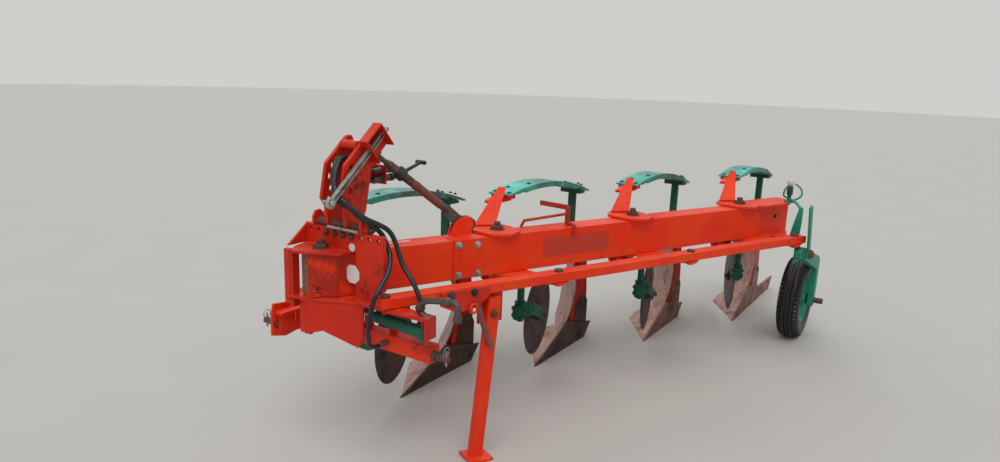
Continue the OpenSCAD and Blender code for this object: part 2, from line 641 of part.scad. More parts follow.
module tyre() color("black") translate(wheel_c) rotate([90, 0, 0]) rotate_extrude($fn = 72)
  polygon([[rim_d / 2 + 0.3, -48], [rim_d / 2 + 26, -tyre_w / 2 + 3], [tyre_d / 2 - 44, -tyre_w / 2], [tyre_d / 2 - 14, -tyre_w / 2 + 12],
           [tyre_d / 2, -tyre_w / 2 + 36], [tyre_d / 2, tyre_w / 2 - 36], [tyre_d / 2 - 14, tyre_w / 2 - 12],
           [tyre_d / 2 - 44, tyre_w / 2], [rim_d / 2 + 26, tyre_w / 2 - 3], [rim_d / 2 + 0.3, 48]]);
// hoses: tubes swept along a smooth line through route points
function spline(p, i, t) = let (a = p[max(i - 1, 0)], b = p[i], c = p[i + 1], d = p[min(i + 2, len(p) - 1)])
  0.5 * (2 * b + (c - a) * t + (2 * a - 5 * b + 4 * c - d) * t * t + (3 * b - a - 3 * c + d) * t * t * t);
hose_steps = 2;
hose_sides = 10;
function smooth(p) = [for (i = [0:len(p) - 2], s = [0:hose_steps - 1]) spline(p, i, s / hose_steps), p[len(p) - 1]];
module hose(route, d) {
  c = smooth(route);
  n = len(c);
  rings = [for (i = [0:n - 1]) let (t = c[min(i + 1, n - 1)] - c[max(i - 1, 0)], w = t / norm(t),
    u = cross(w, [0.2, 0.1, 1]), a = u / norm(u), b = cross(w, a))
    for (s = [0:hose_sides - 1]) c[i] + d / 2 * (cos(360 * s / hose_sides) * a + sin(360 * s / hose_sides) * b)];
  polyhedron(rings, concat([[for (s = [0:hose_sides - 1]) s]],
    [for (i = [0:n - 2], s = [0:hose_sides - 1]) let (q = (s + 1) % hose_sides, r = i * hose_sides)
      [r + s, r + hose_sides + s, r + hose_sides + q, r + q]],
    [[for (s = [hose_sides - 1:-1:0]) (n - 1) * hose_sides + s]]), convexity = 10);
}
hose_d = 20;
front_route = [[-314, 32, 1240], [-250, 34, 1242], [-175, 42, 1254], [-128, 46, 1276], [-92, 50, 1311], [-50, 52, 1314], [-22, 60, 1270], [-2, 78, 1218],
               [18, 106, 1177], [16, 134, 1153], [-6, 160, 1136], [-24, 192, 1102], [-42, 220, 1082], [-62, 243, 1060],
               [-84, 258, 1030], [-92, 276, 990], [-84, 300, 950], [-48, 324, 900], [-8, 328, 858], [30, 326, 815], [40, 314, 765],
               [36, 298, 705], [22, 280, 650], [-6, 264, 590], [-50, 258, 572], [-109, 258, 572]];
rear_route = [[-314, 34, 1204], [-250, 36, 1204], [-190, 60, 1224], [-132, 74, 1260], [-94, 78, 1310], [-44, 80, 1318], [-8, 88, 1280], [12, 98, 1236],
              [20, 112, 1206], [26, 134, 1182], [22, 162, 1164], [4, 196, 1132], [-22, 230, 1100], [-56, 262, 1078],
              [-92, 284, 1050], [-110, 302, 1006], [-108, 345, 918], [-104, 400, 860], [-102, 436, 800], [-100, 446, 750],
              [-100, 446, 702.8]];
module hose_front() color("black") hose(front_route, hose_d);
module hose_rear() color("black") hose(rear_route, hose_d);
// quick couplers hung up beside the stay
module couplers() color("gray") for (r = [front_route, rear_route])
  translate([r[0][0] - 0.5, r[0][1], r[0][2]]) rotate([0, -90, 0]) {
    cylinder(d = coupler_d, h = 62);
    for (z = [0, 20]) translate([0, 0, z]) cylinder(d = coupler_d + 6, h = z == 0 ? 11.2 : 16, $fn = 6);
  }
coupler_d = 26;
module unit_part(p, k) {
  if (p == "leaf_spring") leaf_spring(k);
  if (p == "strut") strut(k);
  if (p == "leg") leg(k);
  if (p == "mouldboard") mouldboard(k);
  if (p == "share") share(k);
  if (p == "landside") landside(k);
  if (p == "coulter_arm") coulter_arm(k);
  if (p == "coulter_disc") coulter_disc(k);
}

placed() {
  headstock_frame();
  hitch_arm_right();
  hitch_arm_left();
  mast();
  mast_bracket();
  top_link_bar();
  main_beam();
  swing_lever();
  beam_rod();
  steering_bar();
  stand_bracket();
  stand_leg();
  stay();
  cylinder_barrel();
  cylinder_rod();
  wheel_bracket();
  wheel_arm();
  wheel_screw();
  wheel_rim();
  tyre();
  hose_front();
  hose_rear();
  couplers();
  for (k = moving_units) unit_bracket(k);
  for (p = body_parts, k = units) unit_part(p, k);
}
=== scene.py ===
import math
import bmesh
import bpy
import numpy as np
from mathutils import Matrix, Vector


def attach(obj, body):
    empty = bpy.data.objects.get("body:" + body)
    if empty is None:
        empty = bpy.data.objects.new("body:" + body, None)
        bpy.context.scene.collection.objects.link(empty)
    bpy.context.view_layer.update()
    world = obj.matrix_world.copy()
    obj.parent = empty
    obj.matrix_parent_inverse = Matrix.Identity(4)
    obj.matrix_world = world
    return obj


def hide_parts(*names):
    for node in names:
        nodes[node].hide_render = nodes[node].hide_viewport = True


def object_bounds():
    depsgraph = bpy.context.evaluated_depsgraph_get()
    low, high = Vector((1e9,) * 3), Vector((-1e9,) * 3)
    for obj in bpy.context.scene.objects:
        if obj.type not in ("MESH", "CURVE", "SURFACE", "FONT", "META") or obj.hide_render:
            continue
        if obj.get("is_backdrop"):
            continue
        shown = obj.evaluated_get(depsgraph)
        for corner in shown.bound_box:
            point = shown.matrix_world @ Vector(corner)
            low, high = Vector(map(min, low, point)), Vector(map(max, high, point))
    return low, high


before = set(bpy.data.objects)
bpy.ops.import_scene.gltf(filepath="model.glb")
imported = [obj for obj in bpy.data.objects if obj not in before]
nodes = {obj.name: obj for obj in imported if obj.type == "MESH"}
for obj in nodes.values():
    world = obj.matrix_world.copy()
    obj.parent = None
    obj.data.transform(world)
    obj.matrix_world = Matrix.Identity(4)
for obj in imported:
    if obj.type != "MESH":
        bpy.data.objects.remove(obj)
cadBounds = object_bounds()

# the headstock pivot on the ground, seen from the middle of the plough, and the beam's direction
pivot = np.array([1.9798, -0.5166, 0.0])
beamAngle = math.radians(24)
bodyPitch = 0.85
units = [1, 2, 3, 4]


# a point given in millimetres from the headstock pivot, in metres in the frame
def place(x, y, z):
    return pivot + np.array([x, y, z]) / 1000


# the same for a point given along and across the beam: turned by minus the beam's angle
def beamPlace(u, v, z):
    c, s = math.cos(beamAngle), math.sin(beamAngle)
    return place(u * c + v * s, -u * s + v * c, z)


# a point near unit k: the unit's pivot is (k - 1) pitches back along the beam
def unitPlace(k, x, y, z):
    return beamPlace(-(k - 1) * bodyPitch * 1000, 0, 0) + np.array([x, y, z]) / 1000


# camera: where the photograph was taken from, rolled by 2.05 degrees
cameraSetup = {"at": (2015, 2175, 1700), "forward": (-0.8178, -0.5311, -0.2215), "roll": 2.05, "lens": 26.28}


# right is forward turned a quarter in plan, up is right x forward, then both turn by the roll
def makeCamera(setup):
    data = bpy.data.cameras.new("camera")
    data.sensor_width = 36
    data.lens = setup["lens"]
    data.clip_end = 200
    camera = bpy.data.objects.new("camera", data)
    bpy.context.scene.collection.objects.link(camera)
    forward = Vector(setup["forward"]).normalized()
    right = Vector((forward.y, -forward.x, 0)).normalized()
    up = right.cross(forward)
    roll = math.radians(setup["roll"])
    camRight = right * math.cos(roll) + up * math.sin(roll)
    camUp = up * math.cos(roll) - right * math.sin(roll)
    turn = Matrix((camRight, camUp, -forward)).transposed().to_4x4()
    camera.matrix_world = Matrix.Translation(Vector(place(*setup["at"]))) @ turn
    bpy.context.scene.camera = camera


makeCamera(cameraSetup)
print("camera set")


# sRGB hex text to linear red, green, blue and 1: c/12.92 below 0.04045, else ((c+0.055)/1.055)^2.4
def linear(hexText):
    parts = [int(hexText[i:i + 2], 16) / 255 for i in (1, 3, 5)]
    return tuple(c / 12.92 if c <= 0.04045 else ((c + 0.055) / 1.055) ** 2.4 for c in parts) + (1.0,)


# one node with its socket values and links: a link is (own input, other node), or also the other's output
def addNode(tree, kind, values=None, links=(), **settings):
    node = tree.nodes.new("ShaderNode" + kind)
    for name, value in settings.items():
        setattr(node, name, value)
    for name, value in (values or {}).items():
        node.inputs[name].default_value = value
    for own, other, *out in links:
        tree.links.new(other.outputs[out[0] if out else 0], node.inputs[own])
    return node


# an empty material: its shader, and the object coordinates that its patterns read
def startMaterial(name):
    material = bpy.data.materials.new(name)
    material.use_nodes = True
    tree = material.node_tree
    tree.nodes.clear()
    shader = addNode(tree, "BsdfPrincipled")
    addNode(tree, "OutputMaterial", links=[("Surface", shader)])
    return material, tree, shader, addNode(tree, "TexCoord")


# Noise in blobs about size millimetres across; with a cut it is 0 below the cut's low end and top above its high end.
# Paint's orange peel and the grain of bolts and rubber are finer than this picture shows, so they are drawn coarser.
def blobs(tree, coords, size, detail, rough=0.55, cut=None, top=1.0, stretch=(1, 1, 1), turn=(0, 0, 0)):
    mapping = addNode(tree, "Mapping", {"Scale": stretch, "Rotation": turn}, [("Vector", coords, "Object")])
    noise = addNode(tree, "TexNoise", {"Scale": 1000 / size, "Detail": detail, "Roughness": rough},
                    [("Vector", mapping)])
    if cut is None:
        return noise
    return addNode(tree, "MapRange", {"From Min": cut[0], "From Max": cut[1], "To Max": top}, [("Value", noise)])


# a colour laid over what is below it, as far as the product of the masks says
def layOver(tree, below, colour, *masks):
    mask = masks[0]
    for other in masks[1:]:
        mask = addNode(tree, "Math", operation="MULTIPLY", links=[(0, mask), (1, other)])
    layer = addNode(tree, "Mix", {7: linear(colour)}, [(0, mask)], data_type="RGBA")
    if isinstance(below, str):
        layer.inputs[6].default_value = linear(below)
    else:
        tree.links.new(below.outputs[2], layer.inputs[6])
    return layer


# a finish's colour, roughness and bump: roughness is the mask times rise plus the base value, depth is in millimetres
def joinFinish(tree, shader, colour, mask, rise, roughness, height, strength, depth, bevel=None):
    rough = addNode(tree, "Math", {1: rise}, [(0, mask)], operation="MULTIPLY_ADD")
    if isinstance(roughness, float):
        rough.inputs[2].default_value = roughness
    else:
        tree.links.new(roughness.outputs[0], rough.inputs[2])
    bump = addNode(tree, "Bump", {"Strength": strength, "Distance": depth / 1000},
                   [("Height", height)] + ([("Normal", bevel)] if bevel else []))
    for socket, node, out in (("Base Color", colour, 2), ("Roughness", rough, 0), ("Normal", bump, 0)):
        tree.links.new(node.outputs[out], shader.inputs[socket])


# Weathered paint on steel: a sun-faded colour drift, dust and a painted highlight on what faces up, worn edges and
# small chips down to the dark primer, and a thin gloss. A dark patch is (point, radius in millimetres, amount) and may
# have its own colour; some of these patches are stains and some are painted shade.
def paint(name, colour, faded, bare, chips=0.66, roughness=0.42, dust=0.14, coat=0.03, streaks=0.25,
          dustAndSheenColour="#d89a80", stainsAndShade=(), darkPatchColour="#30140e"):
    material, tree, shader, coords = startMaterial(name)
    base = layOver(tree, colour, faded, blobs(tree, coords, 220, 3, cut=(0.38, 0.68)))
    # streaks that run down
    base = layOver(tree, base, bare, blobs(tree, coords, 30, 5, 0.6, (0.58, 0.76), streaks, (1, 1, 0.12)))
    # an edge is worn where the normal of its rounding leaves the true one, and only in torn patches
    bevel = addNode(tree, "Bevel", {"Radius": 0.005}, samples=4)
    geometry = addNode(tree, "NewGeometry")
    dot = addNode(tree, "VectorMath", operation="DOT_PRODUCT", links=[(0, bevel), (1, geometry, "Normal")])
    edges = addNode(tree, "MapRange", {"From Min": 0.97, "From Max": 0.78}, [("Value", dot, "Value")])
    torn = blobs(tree, coords, 18, 5, 0.65, (0.5, 0.62), 0.6)
    wear = addNode(tree, "Math", operation="MULTIPLY", links=[(0, edges), (1, torn)])
    chipped = blobs(tree, coords, 12, 6, 0.62, (chips, chips + 0.03))
    bared = addNode(tree, "Math", operation="MAXIMUM", links=[(0, chipped), (1, wear)])
    base = layOver(tree, base, bare, bared)
    # dark patches round given points: some are stains, and the one in its own dark red on the frame's block is painted
    # shade
    for point, radius, amount, *own in stainsAndShade:
        away = addNode(tree, "VectorMath", {1: tuple(point)}, [(0, coords, "Object")], operation="DISTANCE")
        near = addNode(tree, "MapRange", {"From Min": radius / 1000, "From Max": radius * 0.3 / 1000, "To Max": amount},
                       [("Value", away, "Value")])
        ragged = blobs(tree, coords, radius * 0.4, 5, 0.6, (0.42, 0.56))
        base = layOver(tree, base, own[0] if own else darkPatchColour, near, ragged)
    # dust and a painted highlight: the dust colour, a pale tint of the paint, laid in patches over faces that point up
    normal = addNode(tree, "SeparateXYZ", links=[("Vector", geometry, "Normal")])
    upper = addNode(tree, "MapRange", {"From Min": 0.4, "From Max": 0.95, "To Max": dust}, [("Value", normal, "Z")])
    base = layOver(tree, base, dustAndSheenColour, upper, blobs(tree, coords, 50, 6, 0.7, (0.42, 0.66)))
    dull = addNode(tree, "Math", {1: 0.3, 2: roughness}, [(0, bared)], operation="MULTIPLY_ADD")
    height = addNode(tree, "Math", {1: -0.7}, [(0, bared), (2, blobs(tree, coords, 6, 2))], operation="MULTIPLY_ADD")
    joinFinish(tree, shader, base, blobs(tree, coords, 30, 5), 0.16, dull, height, 0.25, 0.6, bevel)
    for socket, value in (("Specular IOR Level", 0.3), ("Coat Weight", coat), ("Coat Roughness", 0.22)):
        shader.inputs[socket].default_value = value
    return material


# Soil-worn steel with a film of fresh rust: scoured streaks along the furrow slice, rust blooms, dark pits
def soilSteel(name, film, scoured, pitted, metal=0.45, roughness=0.42):
    material, tree, shader, coords = startMaterial(name)
    scours = blobs(tree, coords, 20, 6, 0.6, stretch=(0.12, 1, 0.5), turn=(0, 0.25, 0.6))
    streak = addNode(tree, "MapRange", {"From Min": 0.4, "From Max": 0.66}, [("Value", scours)])
    base = layOver(tree, film, scoured, streak)
    bloom = blobs(tree, coords, 90, 6, 0.65, (0.5, 0.66), 0.7)
    for mask in (bloom, blobs(tree, coords, 8, 5, 0.7, (0.64, 0.72), 0.6)):
        base = layOver(tree, base, pitted, mask)
    bevel = addNode(tree, "Bevel", {"Radius": 0.003}, samples=4)
    joinFinish(tree, shader, base, bloom, 0.3, roughness, scours, 0.3, 0.8, bevel)
    shader.inputs["Metallic"].default_value = metal
    return material


# Zinc plating or bare bolt steel: crystal patches size millimetres across in slightly different greys, a little grime
def plainSteel(name, light, dark, grime, metal=0.85, roughness=0.38, size=20):
    material, tree, shader, coords = startMaterial(name)
    spangle = addNode(tree, "TexVoronoi", {"Scale": 1000 / size}, [("Vector", coords, "Object")])
    patch = addNode(tree, "SeparateColor", links=[("Color", spangle, "Color")])
    dirt = blobs(tree, coords, 30, 6, 0.65, (0.5, 0.7), 0.8)
    base = layOver(tree, layOver(tree, light, dark, patch), grime, dirt)
    bevel = addNode(tree, "Bevel", {"Radius": 0.0015}, samples=4)
    joinFinish(tree, shader, base, dirt, 0.3, roughness, dirt, 0.15, 0.4, bevel)
    shader.inputs["Metallic"].default_value = metal
    return material


# Rubber, and matt plastic: one dull colour with dust in specks about speck millimetres across
def rubber(name, colour, dust, amount=0.3, roughness=0.6, speck=10):
    material, tree, shader, coords = startMaterial(name)
    film = blobs(tree, coords, speck, 6, 0.7, (0.45, 0.75), amount)
    joinFinish(tree, shader, layOver(tree, colour, dust, film), film, 0.4, roughness, film, 0.2, 0.6)
    return material


# every finish is named for its material and its place, with a note on what it gives the eye
finishes = {
    # orange-red paint, sun-faded along the beam, with small dark patches; the broad dark red patch on the block by the
    # pivot is painted shade
    "framePaint": paint("framePaint", "#e62c00", "#ea3e06", "#5e1e10", chips=0.68, stainsAndShade=[
        (beamPlace(30, 45, 790), 50, 0.9), (beamPlace(-8, 62, 850), 35, 0.6), (place(-110, 420, 600), 50, 0.6),
        (place(-120, 470, 612), 50, 0.7), (place(0, 40, 850), 240, 0.75, "#8e1a10")]),
    # the same paint in a deeper red on the headstock, made darker still as painted shade, with small dark patches
    "headPaintShaded": paint("headPaintShaded", "#c41e06", "#d02c0a", "#451510", stainsAndShade=[
        (place(-95, 107, 1215), 75, 0.85), (place(-110, 107, 1140), 50, 0.6), (place(-45, 200, 800), 60, 0.6),
        (place(-45, 265, 900), 50, 0.5)]),
    # crimson paint, streaked by soil, on the legs
    "legPaint": paint("legPaint", "#a8170e", "#b82616", "#3a1410", chips=0.62, streaks=0.35),
    # mint green, sun-faded in patches, with a pale mint painted highlight on its upper faces and darker greenish grey
    # over each spring's rear half
    "springPaint": paint("springPaint", "#1d9a86", "#4fc6b2", "#123c34", chips=0.67, dust=0.3, dustAndSheenColour="#9fe0dc",
                         darkPatchColour="#4c564a", stainsAndShade=[
                             (unitPlace(k, x, -141, z), radius, 0.85) for k in units
                             for x, z, radius in ((-620, 1086, 240), (-820, 1050, 260), (-1010, 1010, 240))]),
    # three greens: dark struts, nearly black coulters, a livelier wheel arm
    "strutPaint": paint("strutPaint", "#0d4c3a", "#17604a", "#232c28", dustAndSheenColour="#86a89a"),
    "coulterPaint": paint("coulterPaint", "#064a36", "#0c6048", "#2a3029", chips=0.63, dustAndSheenColour="#7f8f82"),
    "armPaint": paint("armPaint", "#14805f", "#2a9a7a", "#2d3c36", dustAndSheenColour="#94c4b4"),
    # brown-red paint gone dull, on the stay and on the holder
    "stayPaint": paint("stayPaint", "#7a4238", "#8a5448", "#4a302a", chips=0.6, roughness=0.5),
    "holderPaint": paint("holderPaint", "#a83216", "#b8452a", "#5a2a1e", chips=0.6, roughness=0.55),
    # ploughshare steel: pinkish brown and streaked on the boards, dark on the discs; the landsides are one steel, in a
    # dark copy on units 1 and 2 as painted shade and a lighter copy on units 3 and 4 as painted light
    "boardSteel": soilSteel("boardSteel", "#94685a", "#b08c7e", "#684236", metal=0.35, roughness=0.5),
    "landSteelShaded": soilSteel("landSteelShaded", "#3e2822", "#523a32", "#241612", metal=0.25, roughness=0.5),
    "landSteelLit": soilSteel("landSteelLit", "#7a5044", "#8e6456", "#4c3028", metal=0.3, roughness=0.5),
    "discSteel": soilSteel("discSteel", "#3c2a24", "#54403a", "#2a1a16", metal=0.35, roughness=0.5),
    # plated and bare steel: pale zinc, grey bolts, rusty bolts, oily dark steel, handled steel, the bare nose
    "zinc": plainSteel("zinc", "#b9bdb4", "#9ba098", "#6d6c62"),
    "boltSteel": plainSteel("boltSteel", "#7f8380", "#5f6460", "#4a3c34", size=6),
    "rustyBolt": plainSteel("rustyBolt", "#6c4a3c", "#50382e", "#80503a", metal=0.35, roughness=0.6, size=4),
    "darkSteel": plainSteel("darkSteel", "#4c4a4a", "#343434", "#241c1a", metal=0.6, roughness=0.5),
    "bareSteel": plainSteel("bareSteel", "#6e6460", "#574c48", "#5c3a2e", metal=0.7, roughness=0.42, size=8),
    "wornNose": plainSteel("wornNose", "#a4826c", "#8c6a54", "#5e3a2c", metal=0.5, roughness=0.5, size=12),
    # vinyl and plastic: the patch's faded ground, blank stickers, the crank's knob
    "fadedPatch": rubber("fadedPatch", "#c2341a", "#a62812", 0.6, 0.5, 12),
    "plainSticker": rubber("plainSticker", "#dcd8d0", "#b4a89c", 0.5, 0.4, 6),
    "whiteKnob": rubber("whiteKnob", "#c4c8ca", "#8c8a86", 0.5, 0.35, 6),
    # near-black tyre rubber with a little dust, and shinier hose rubber
    "tyreRubber": rubber("tyreRubber", "#0d0d10", "#4c4a48", 0.16, 0.42),
    "hoseRubber": rubber("hoseRubber", "#101319", "#5c6068", 0.2, 0.32),
}

# each CAD node's finish, by its own name or its family's; a node that isn't listed has the frame's paint
nodeFinish = {
    "headstock_frame": "headPaintShaded", "mast": "headPaintShaded", "mast_bracket": "headPaintShaded", "stand_bracket": "headPaintShaded",
    "leaf_spring": "springPaint", "strut": "strutPaint", "leg": "legPaint", "mouldboard": "boardSteel",
    "share": "boardSteel", "landside": "landSteelShaded", "landside_3": "landSteelLit", "landside_4": "landSteelLit",
    "coulter_arm": "coulterPaint", "coulter_disc": "discSteel", "top_link_bar": "zinc", "swing_lever": "darkSteel",
    "beam_rod": "holderPaint", "stay": "stayPaint", "cylinder_barrel": "coulterPaint", "cylinder_rod": "zinc",
    "wheel_arm": "armPaint", "wheel_screw": "armPaint", "wheel_bracket": "armPaint", "wheel_rim": "armPaint",
    "tyre": "tyreRubber", "hose_front": "hoseRubber", "hose_rear": "hoseRubber", "couplers": "boltSteel",
}
for name, cadNode in nodes.items():
    finish = nodeFinish.get(name, nodeFinish.get(name.rstrip("_1234"), "framePaint"))
    cadNode.data.materials.clear()
    cadNode.data.materials.append(finishes[finish])
print("finishes on", len(nodes), "CAD nodes")


# mesh parts are pairs of a point array and a list of faces; this joins several into one
def joinParts(parts):
    points, faces, start = [], [], 0
    for verts, polys in parts:
        points.append(np.asarray(verts, float))
        faces += [[i + start for i in poly] for poly in polys]
        start += len(verts)
    return np.concatenate(points), faces


# quads between rings of equal length; every ring is closed on itself, and the last joins the first when looped
def ringFaces(rings, count, loop=False):
    row = np.arange(rings if loop else rings - 1)[:, None] * count
    above = (row + count) % (rings * count)
    here = np.arange(count)
    ahead = (here + 1) % count
    return np.stack([row + here, row + ahead, above + ahead, above + here], 2).reshape(-1, 4).tolist()


# triangles from a ring, whose first point has the number start, to the point tip; back turns them over
def fanFaces(start, count, tip, back=False):
    here = start + np.arange(count)
    ahead = start + (np.arange(count) + 1) % count
    pair = (ahead, here) if back else (here, ahead)
    return np.stack([*pair, np.full(count, tip)], 1).tolist()


# equal rings joined into one body, with a fan to a point at each end
def closeRings(rings, first, last):
    count = len(rings[0])
    verts = np.concatenate([*rings, [first], [last]])
    tip = len(verts) - 2
    faces = ringFaces(len(rings), count) + fanFaces(0, count, tip, True)
    return verts, faces + fanFaces(tip - count, count, tip + 1)


# three directions at right angles whose last one is along the given axis
def axes(axis):
    w = np.asarray(axis, float) / np.linalg.norm(axis)
    u = np.cross([0.0, 0.0, 1.0] if abs(w[2]) < 0.9 else [1.0, 0.0, 0.0], w)
    u /= np.linalg.norm(u)
    return u, np.cross(w, u), w


# a turned part: every (radius, height) of the profile swept round the axis. An end with radius 0 closes to a point,
# and a looped profile joins its last point to its first.
def lathe(profile, centre, axis, count=32, turn=0.0, loop=False):
    u, v, w = axes(axis)
    profile = np.asarray(profile, float) / 1000
    low, high = profile[0][0] == 0, profile[-1][0] == 0
    body = profile[1 if low else 0:len(profile) - (1 if high else 0)]
    angle = np.linspace(0, 2 * math.pi, count, endpoint=False) + turn
    circle = np.outer(np.cos(angle), u) + np.outer(np.sin(angle), v)
    rings = body[:, None, :1] * circle[None] + body[:, None, 1:] * w
    verts = rings.reshape(-1, 3) + np.asarray(centre)
    faces = ringFaces(len(body), count, loop)
    if low:
        verts = np.vstack([verts, np.asarray(centre) + w * profile[0][1]])
        faces += fanFaces(0, count, len(verts) - 1, True)
    if high:
        verts = np.vstack([verts, np.asarray(centre) + w * profile[-1][1]])
        faces += fanFaces((len(body) - 1) * count, count, len(verts) - 1)
    return verts, faces


# a round rod through points: rings at right angles to the path, carried along without twist, closed at both ends
def tube(path, radius, count=14):
    path = np.asarray(path, float)
    heading = np.gradient(path, axis=0)
    heading /= np.linalg.norm(heading, axis=1)[:, None]
    u = axes(heading[0])[0]
    angle = np.linspace(0, 2 * math.pi, count, endpoint=False)
    rings = []
    for point, w in zip(path, heading):
        u = u - w * np.dot(u, w)
        u /= np.linalg.norm(u)
        rings.append(point + radius * (np.outer(np.cos(angle), u) + np.outer(np.sin(angle), np.cross(w, u))))
    return closeRings(rings, path[0], path[-1])


# a smooth path through points: cubics whose slope at each point is half the way from the one before to the one after,
# with steps pieces between each pair
def smoothPath(points, steps=6):
    points = np.asarray(points, float)
    padded = np.vstack([points[:1], points, points[-1:]])
    a, b, c, d = padded[:-3], padded[1:-2], padded[2:-1], padded[3:]
    t = (np.arange(steps) / steps)[None, :, None]
    a, b, c, d = (x[:, None, :] for x in (a, b, c, d))
    curve = 0.5 * (2 * b + (c - a) * t + (2 * a - 5 * b + 4 * c - d) * t ** 2 + (3 * b - a - 3 * c + d) * t ** 3)
    return np.vstack([curve.reshape(-1, 3), points[-1:]])


# a plate: the outline (in millimetres along two directions) pushed out by its thickness along the third
def prism(outline, origin, right, up, thickness):
    right, up = (np.asarray(d, float) / np.linalg.norm(d) for d in (right, up))
    outline = np.asarray(outline, float) / 1000
    low = np.asarray(origin) + outline[:, :1] * right + outline[:, 1:] * up
    verts = np.vstack([low, low + np.cross(right, up) * thickness / 1000])
    n = len(outline)
    return verts, [list(range(n - 1, -1, -1)), list(range(n, 2 * n))] + ringFaces(2, n)


# a cast body through rounded box sections: each is (centre, half width, half height), with a superellipse's corners
def casting(sections, side, up, count=24, power=4.0):
    side, up = (np.asarray(d, float) / np.linalg.norm(d) for d in (side, up))
    angle = np.linspace(0, 2 * math.pi, count, endpoint=False)
    c, s = np.cos(angle), np.sin(angle)
    reach = (np.abs(c) ** power + np.abs(s) ** power) ** (-1 / power)
    rings = [np.asarray(centre) + np.outer(c * reach * wide / 1000, side) + np.outer(s * reach * high / 1000, up)
             for centre, wide, high in sections]
    return closeRings(rings, rings[0].mean(0), rings[-1].mean(0))


# hexagon head on a washer, with the corners turned off and the thread's end: sizes from the bolt's diameter
def boltPart(at, axis, d, stub=0.35, head=0.65, washer=True, turn=0.3):
    low = 0.14 * d if washer else 0.0
    r, top = 0.92 * d, low + head * d
    parts = []
    if washer:
        parts.append(lathe([(0, -1), (1.15 * d, -1), (1.15 * d, low - 0.4), (1.1 * d, low), (0, low)], at, axis, 24))
    hexagon = [(0, low - 0.5), (r, low - 0.5), (r, top - 0.12 * d), (0.86 * r, top), (0, top)]
    parts.append(lathe(hexagon, at, axis, 6, turn))
    if stub:
        end = top + stub * d
        thread = [(0, top - 1), (0.48 * d, top - 1), (0.48 * d, end - 1), (0.38 * d, end), (0, end)]
        parts.append(lathe(thread, at, axis, 16))
    return joinParts(parts)


# low round head with a flat rim
def domePart(at, axis, d):
    profile = [(0, -1), (0.95 * d, -1), (0.95 * d, 0.08 * d), (0.8 * d, 0.28 * d), (0.5 * d, 0.42 * d),
               (0.25 * d, 0.48 * d), (0, 0.5 * d)]
    return lathe(profile, at, axis, 20)


# makes the object: outward normals, smooth where faces meet below the angle, an edge bevel where asked
def makePiece(name, part, finish, body, bevel=0.0, angle=35, replaced=()):
    verts, faces = part
    mesh = bpy.data.meshes.new(name)
    mesh.from_pydata(verts.tolist(), [], faces)
    mesh.validate()
    shaped = bmesh.new()
    shaped.from_mesh(mesh)
    bmesh.ops.recalc_face_normals(shaped, faces=shaped.faces)
    shaped.to_mesh(mesh)
    shaped.free()
    mesh.polygons.foreach_set("use_smooth", np.ones(len(mesh.polygons), bool))
    mesh.set_sharp_from_angle(angle=math.radians(angle))
    piece = bpy.data.objects.new(name, mesh)
    bpy.context.scene.collection.objects.link(piece)
    if bevel:
        rounding = piece.modifiers.new("rounding", "BEVEL")
        rounding.width, rounding.segments, rounding.limit_method = bevel / 1000, 2, "ANGLE"
        rounding.angle_limit = math.radians(40)
    mesh.materials.append(finishes[finish])
    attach(piece, body)
    if replaced:
        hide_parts(*replaced)
    return piece


# the body that the pieces of unit k ride on
def unitBody(k):
    return "headstock" if k == 1 else "unit_" + str(k)


# the beam's own directions: along it to the front, and across it to the land side
along = beamPlace(1000, 0, 0) - pivot
across = beamPlace(0, 1000, 0) - pivot
upward = np.array([0.0, 0.0, 1.0])

# hydraulic hoses: the same routes as the CAD hoses, in millimetres from the pivot
hoseSet = {
    "hose_front": [
        [-314, 32, 1240], [-250, 34, 1242], [-175, 42, 1254], [-128, 46, 1276], [-92, 50, 1311], [-50, 52, 1314],
        [-22, 60, 1270], [-2, 78, 1218], [18, 106, 1177], [16, 134, 1153], [-6, 160, 1136], [-24, 192, 1102],
        [-42, 220, 1082], [-62, 243, 1060], [-84, 258, 1030], [-92, 276, 990], [-84, 300, 950], [-48, 324, 900],
        [-8, 328, 858], [30, 326, 815], [40, 314, 765], [36, 298, 705], [22, 280, 650], [-6, 264, 590],
        [-50, 258, 572], [-109, 258, 572]],
    "hose_rear": [
        [-314, 34, 1204], [-250, 36, 1204], [-190, 60, 1224], [-132, 74, 1260], [-94, 78, 1310], [-44, 80, 1318],
        [-8, 88, 1280], [12, 98, 1236], [20, 112, 1206], [26, 134, 1182], [22, 162, 1164], [4, 196, 1132],
        [-22, 230, 1100], [-56, 262, 1078], [-92, 284, 1050], [-110, 302, 1006], [-108, 345, 918], [-104, 400, 860],
        [-102, 436, 800], [-100, 446, 750], [-100, 446, 702.8]],
}
hoseRadius = 0.01
ferrule = [(10.2, -2), (13, 0), (13, 12), (12.4, 13), (13, 14), (13, 26), (12.4, 27), (13, 28), (12.6, 40), (10.2, 42)]


# Each hose is a round rod along its smoothed route, with a ribbed ferrule turned round each end. Both run from the
# coupler plate on the mast back into the machine, so both ends are held.
def makeHoses():
    for name, route in hoseSet.items():
        path = smoothPath([place(*p) for p in route], 6)
        piece = makePiece(name + "_tube", tube(path, hoseRadius, 16), "hoseRubber", "headstock",
                          angle=60, replaced=[name])
        ends = [lathe(ferrule, path[0], path[4] - path[0], 20), lathe(ferrule, path[-1], path[-5] - path[-1], 20)]
        ferrules = makePiece(name + "_ferrules", joinParts(ends), "boltSteel", "headstock")
        length = np.linalg.norm(np.diff(path, axis=0), axis=1).sum()
        print(name, "is", round(length, 3), "m long")


makeHoses()
print("hoses laid")

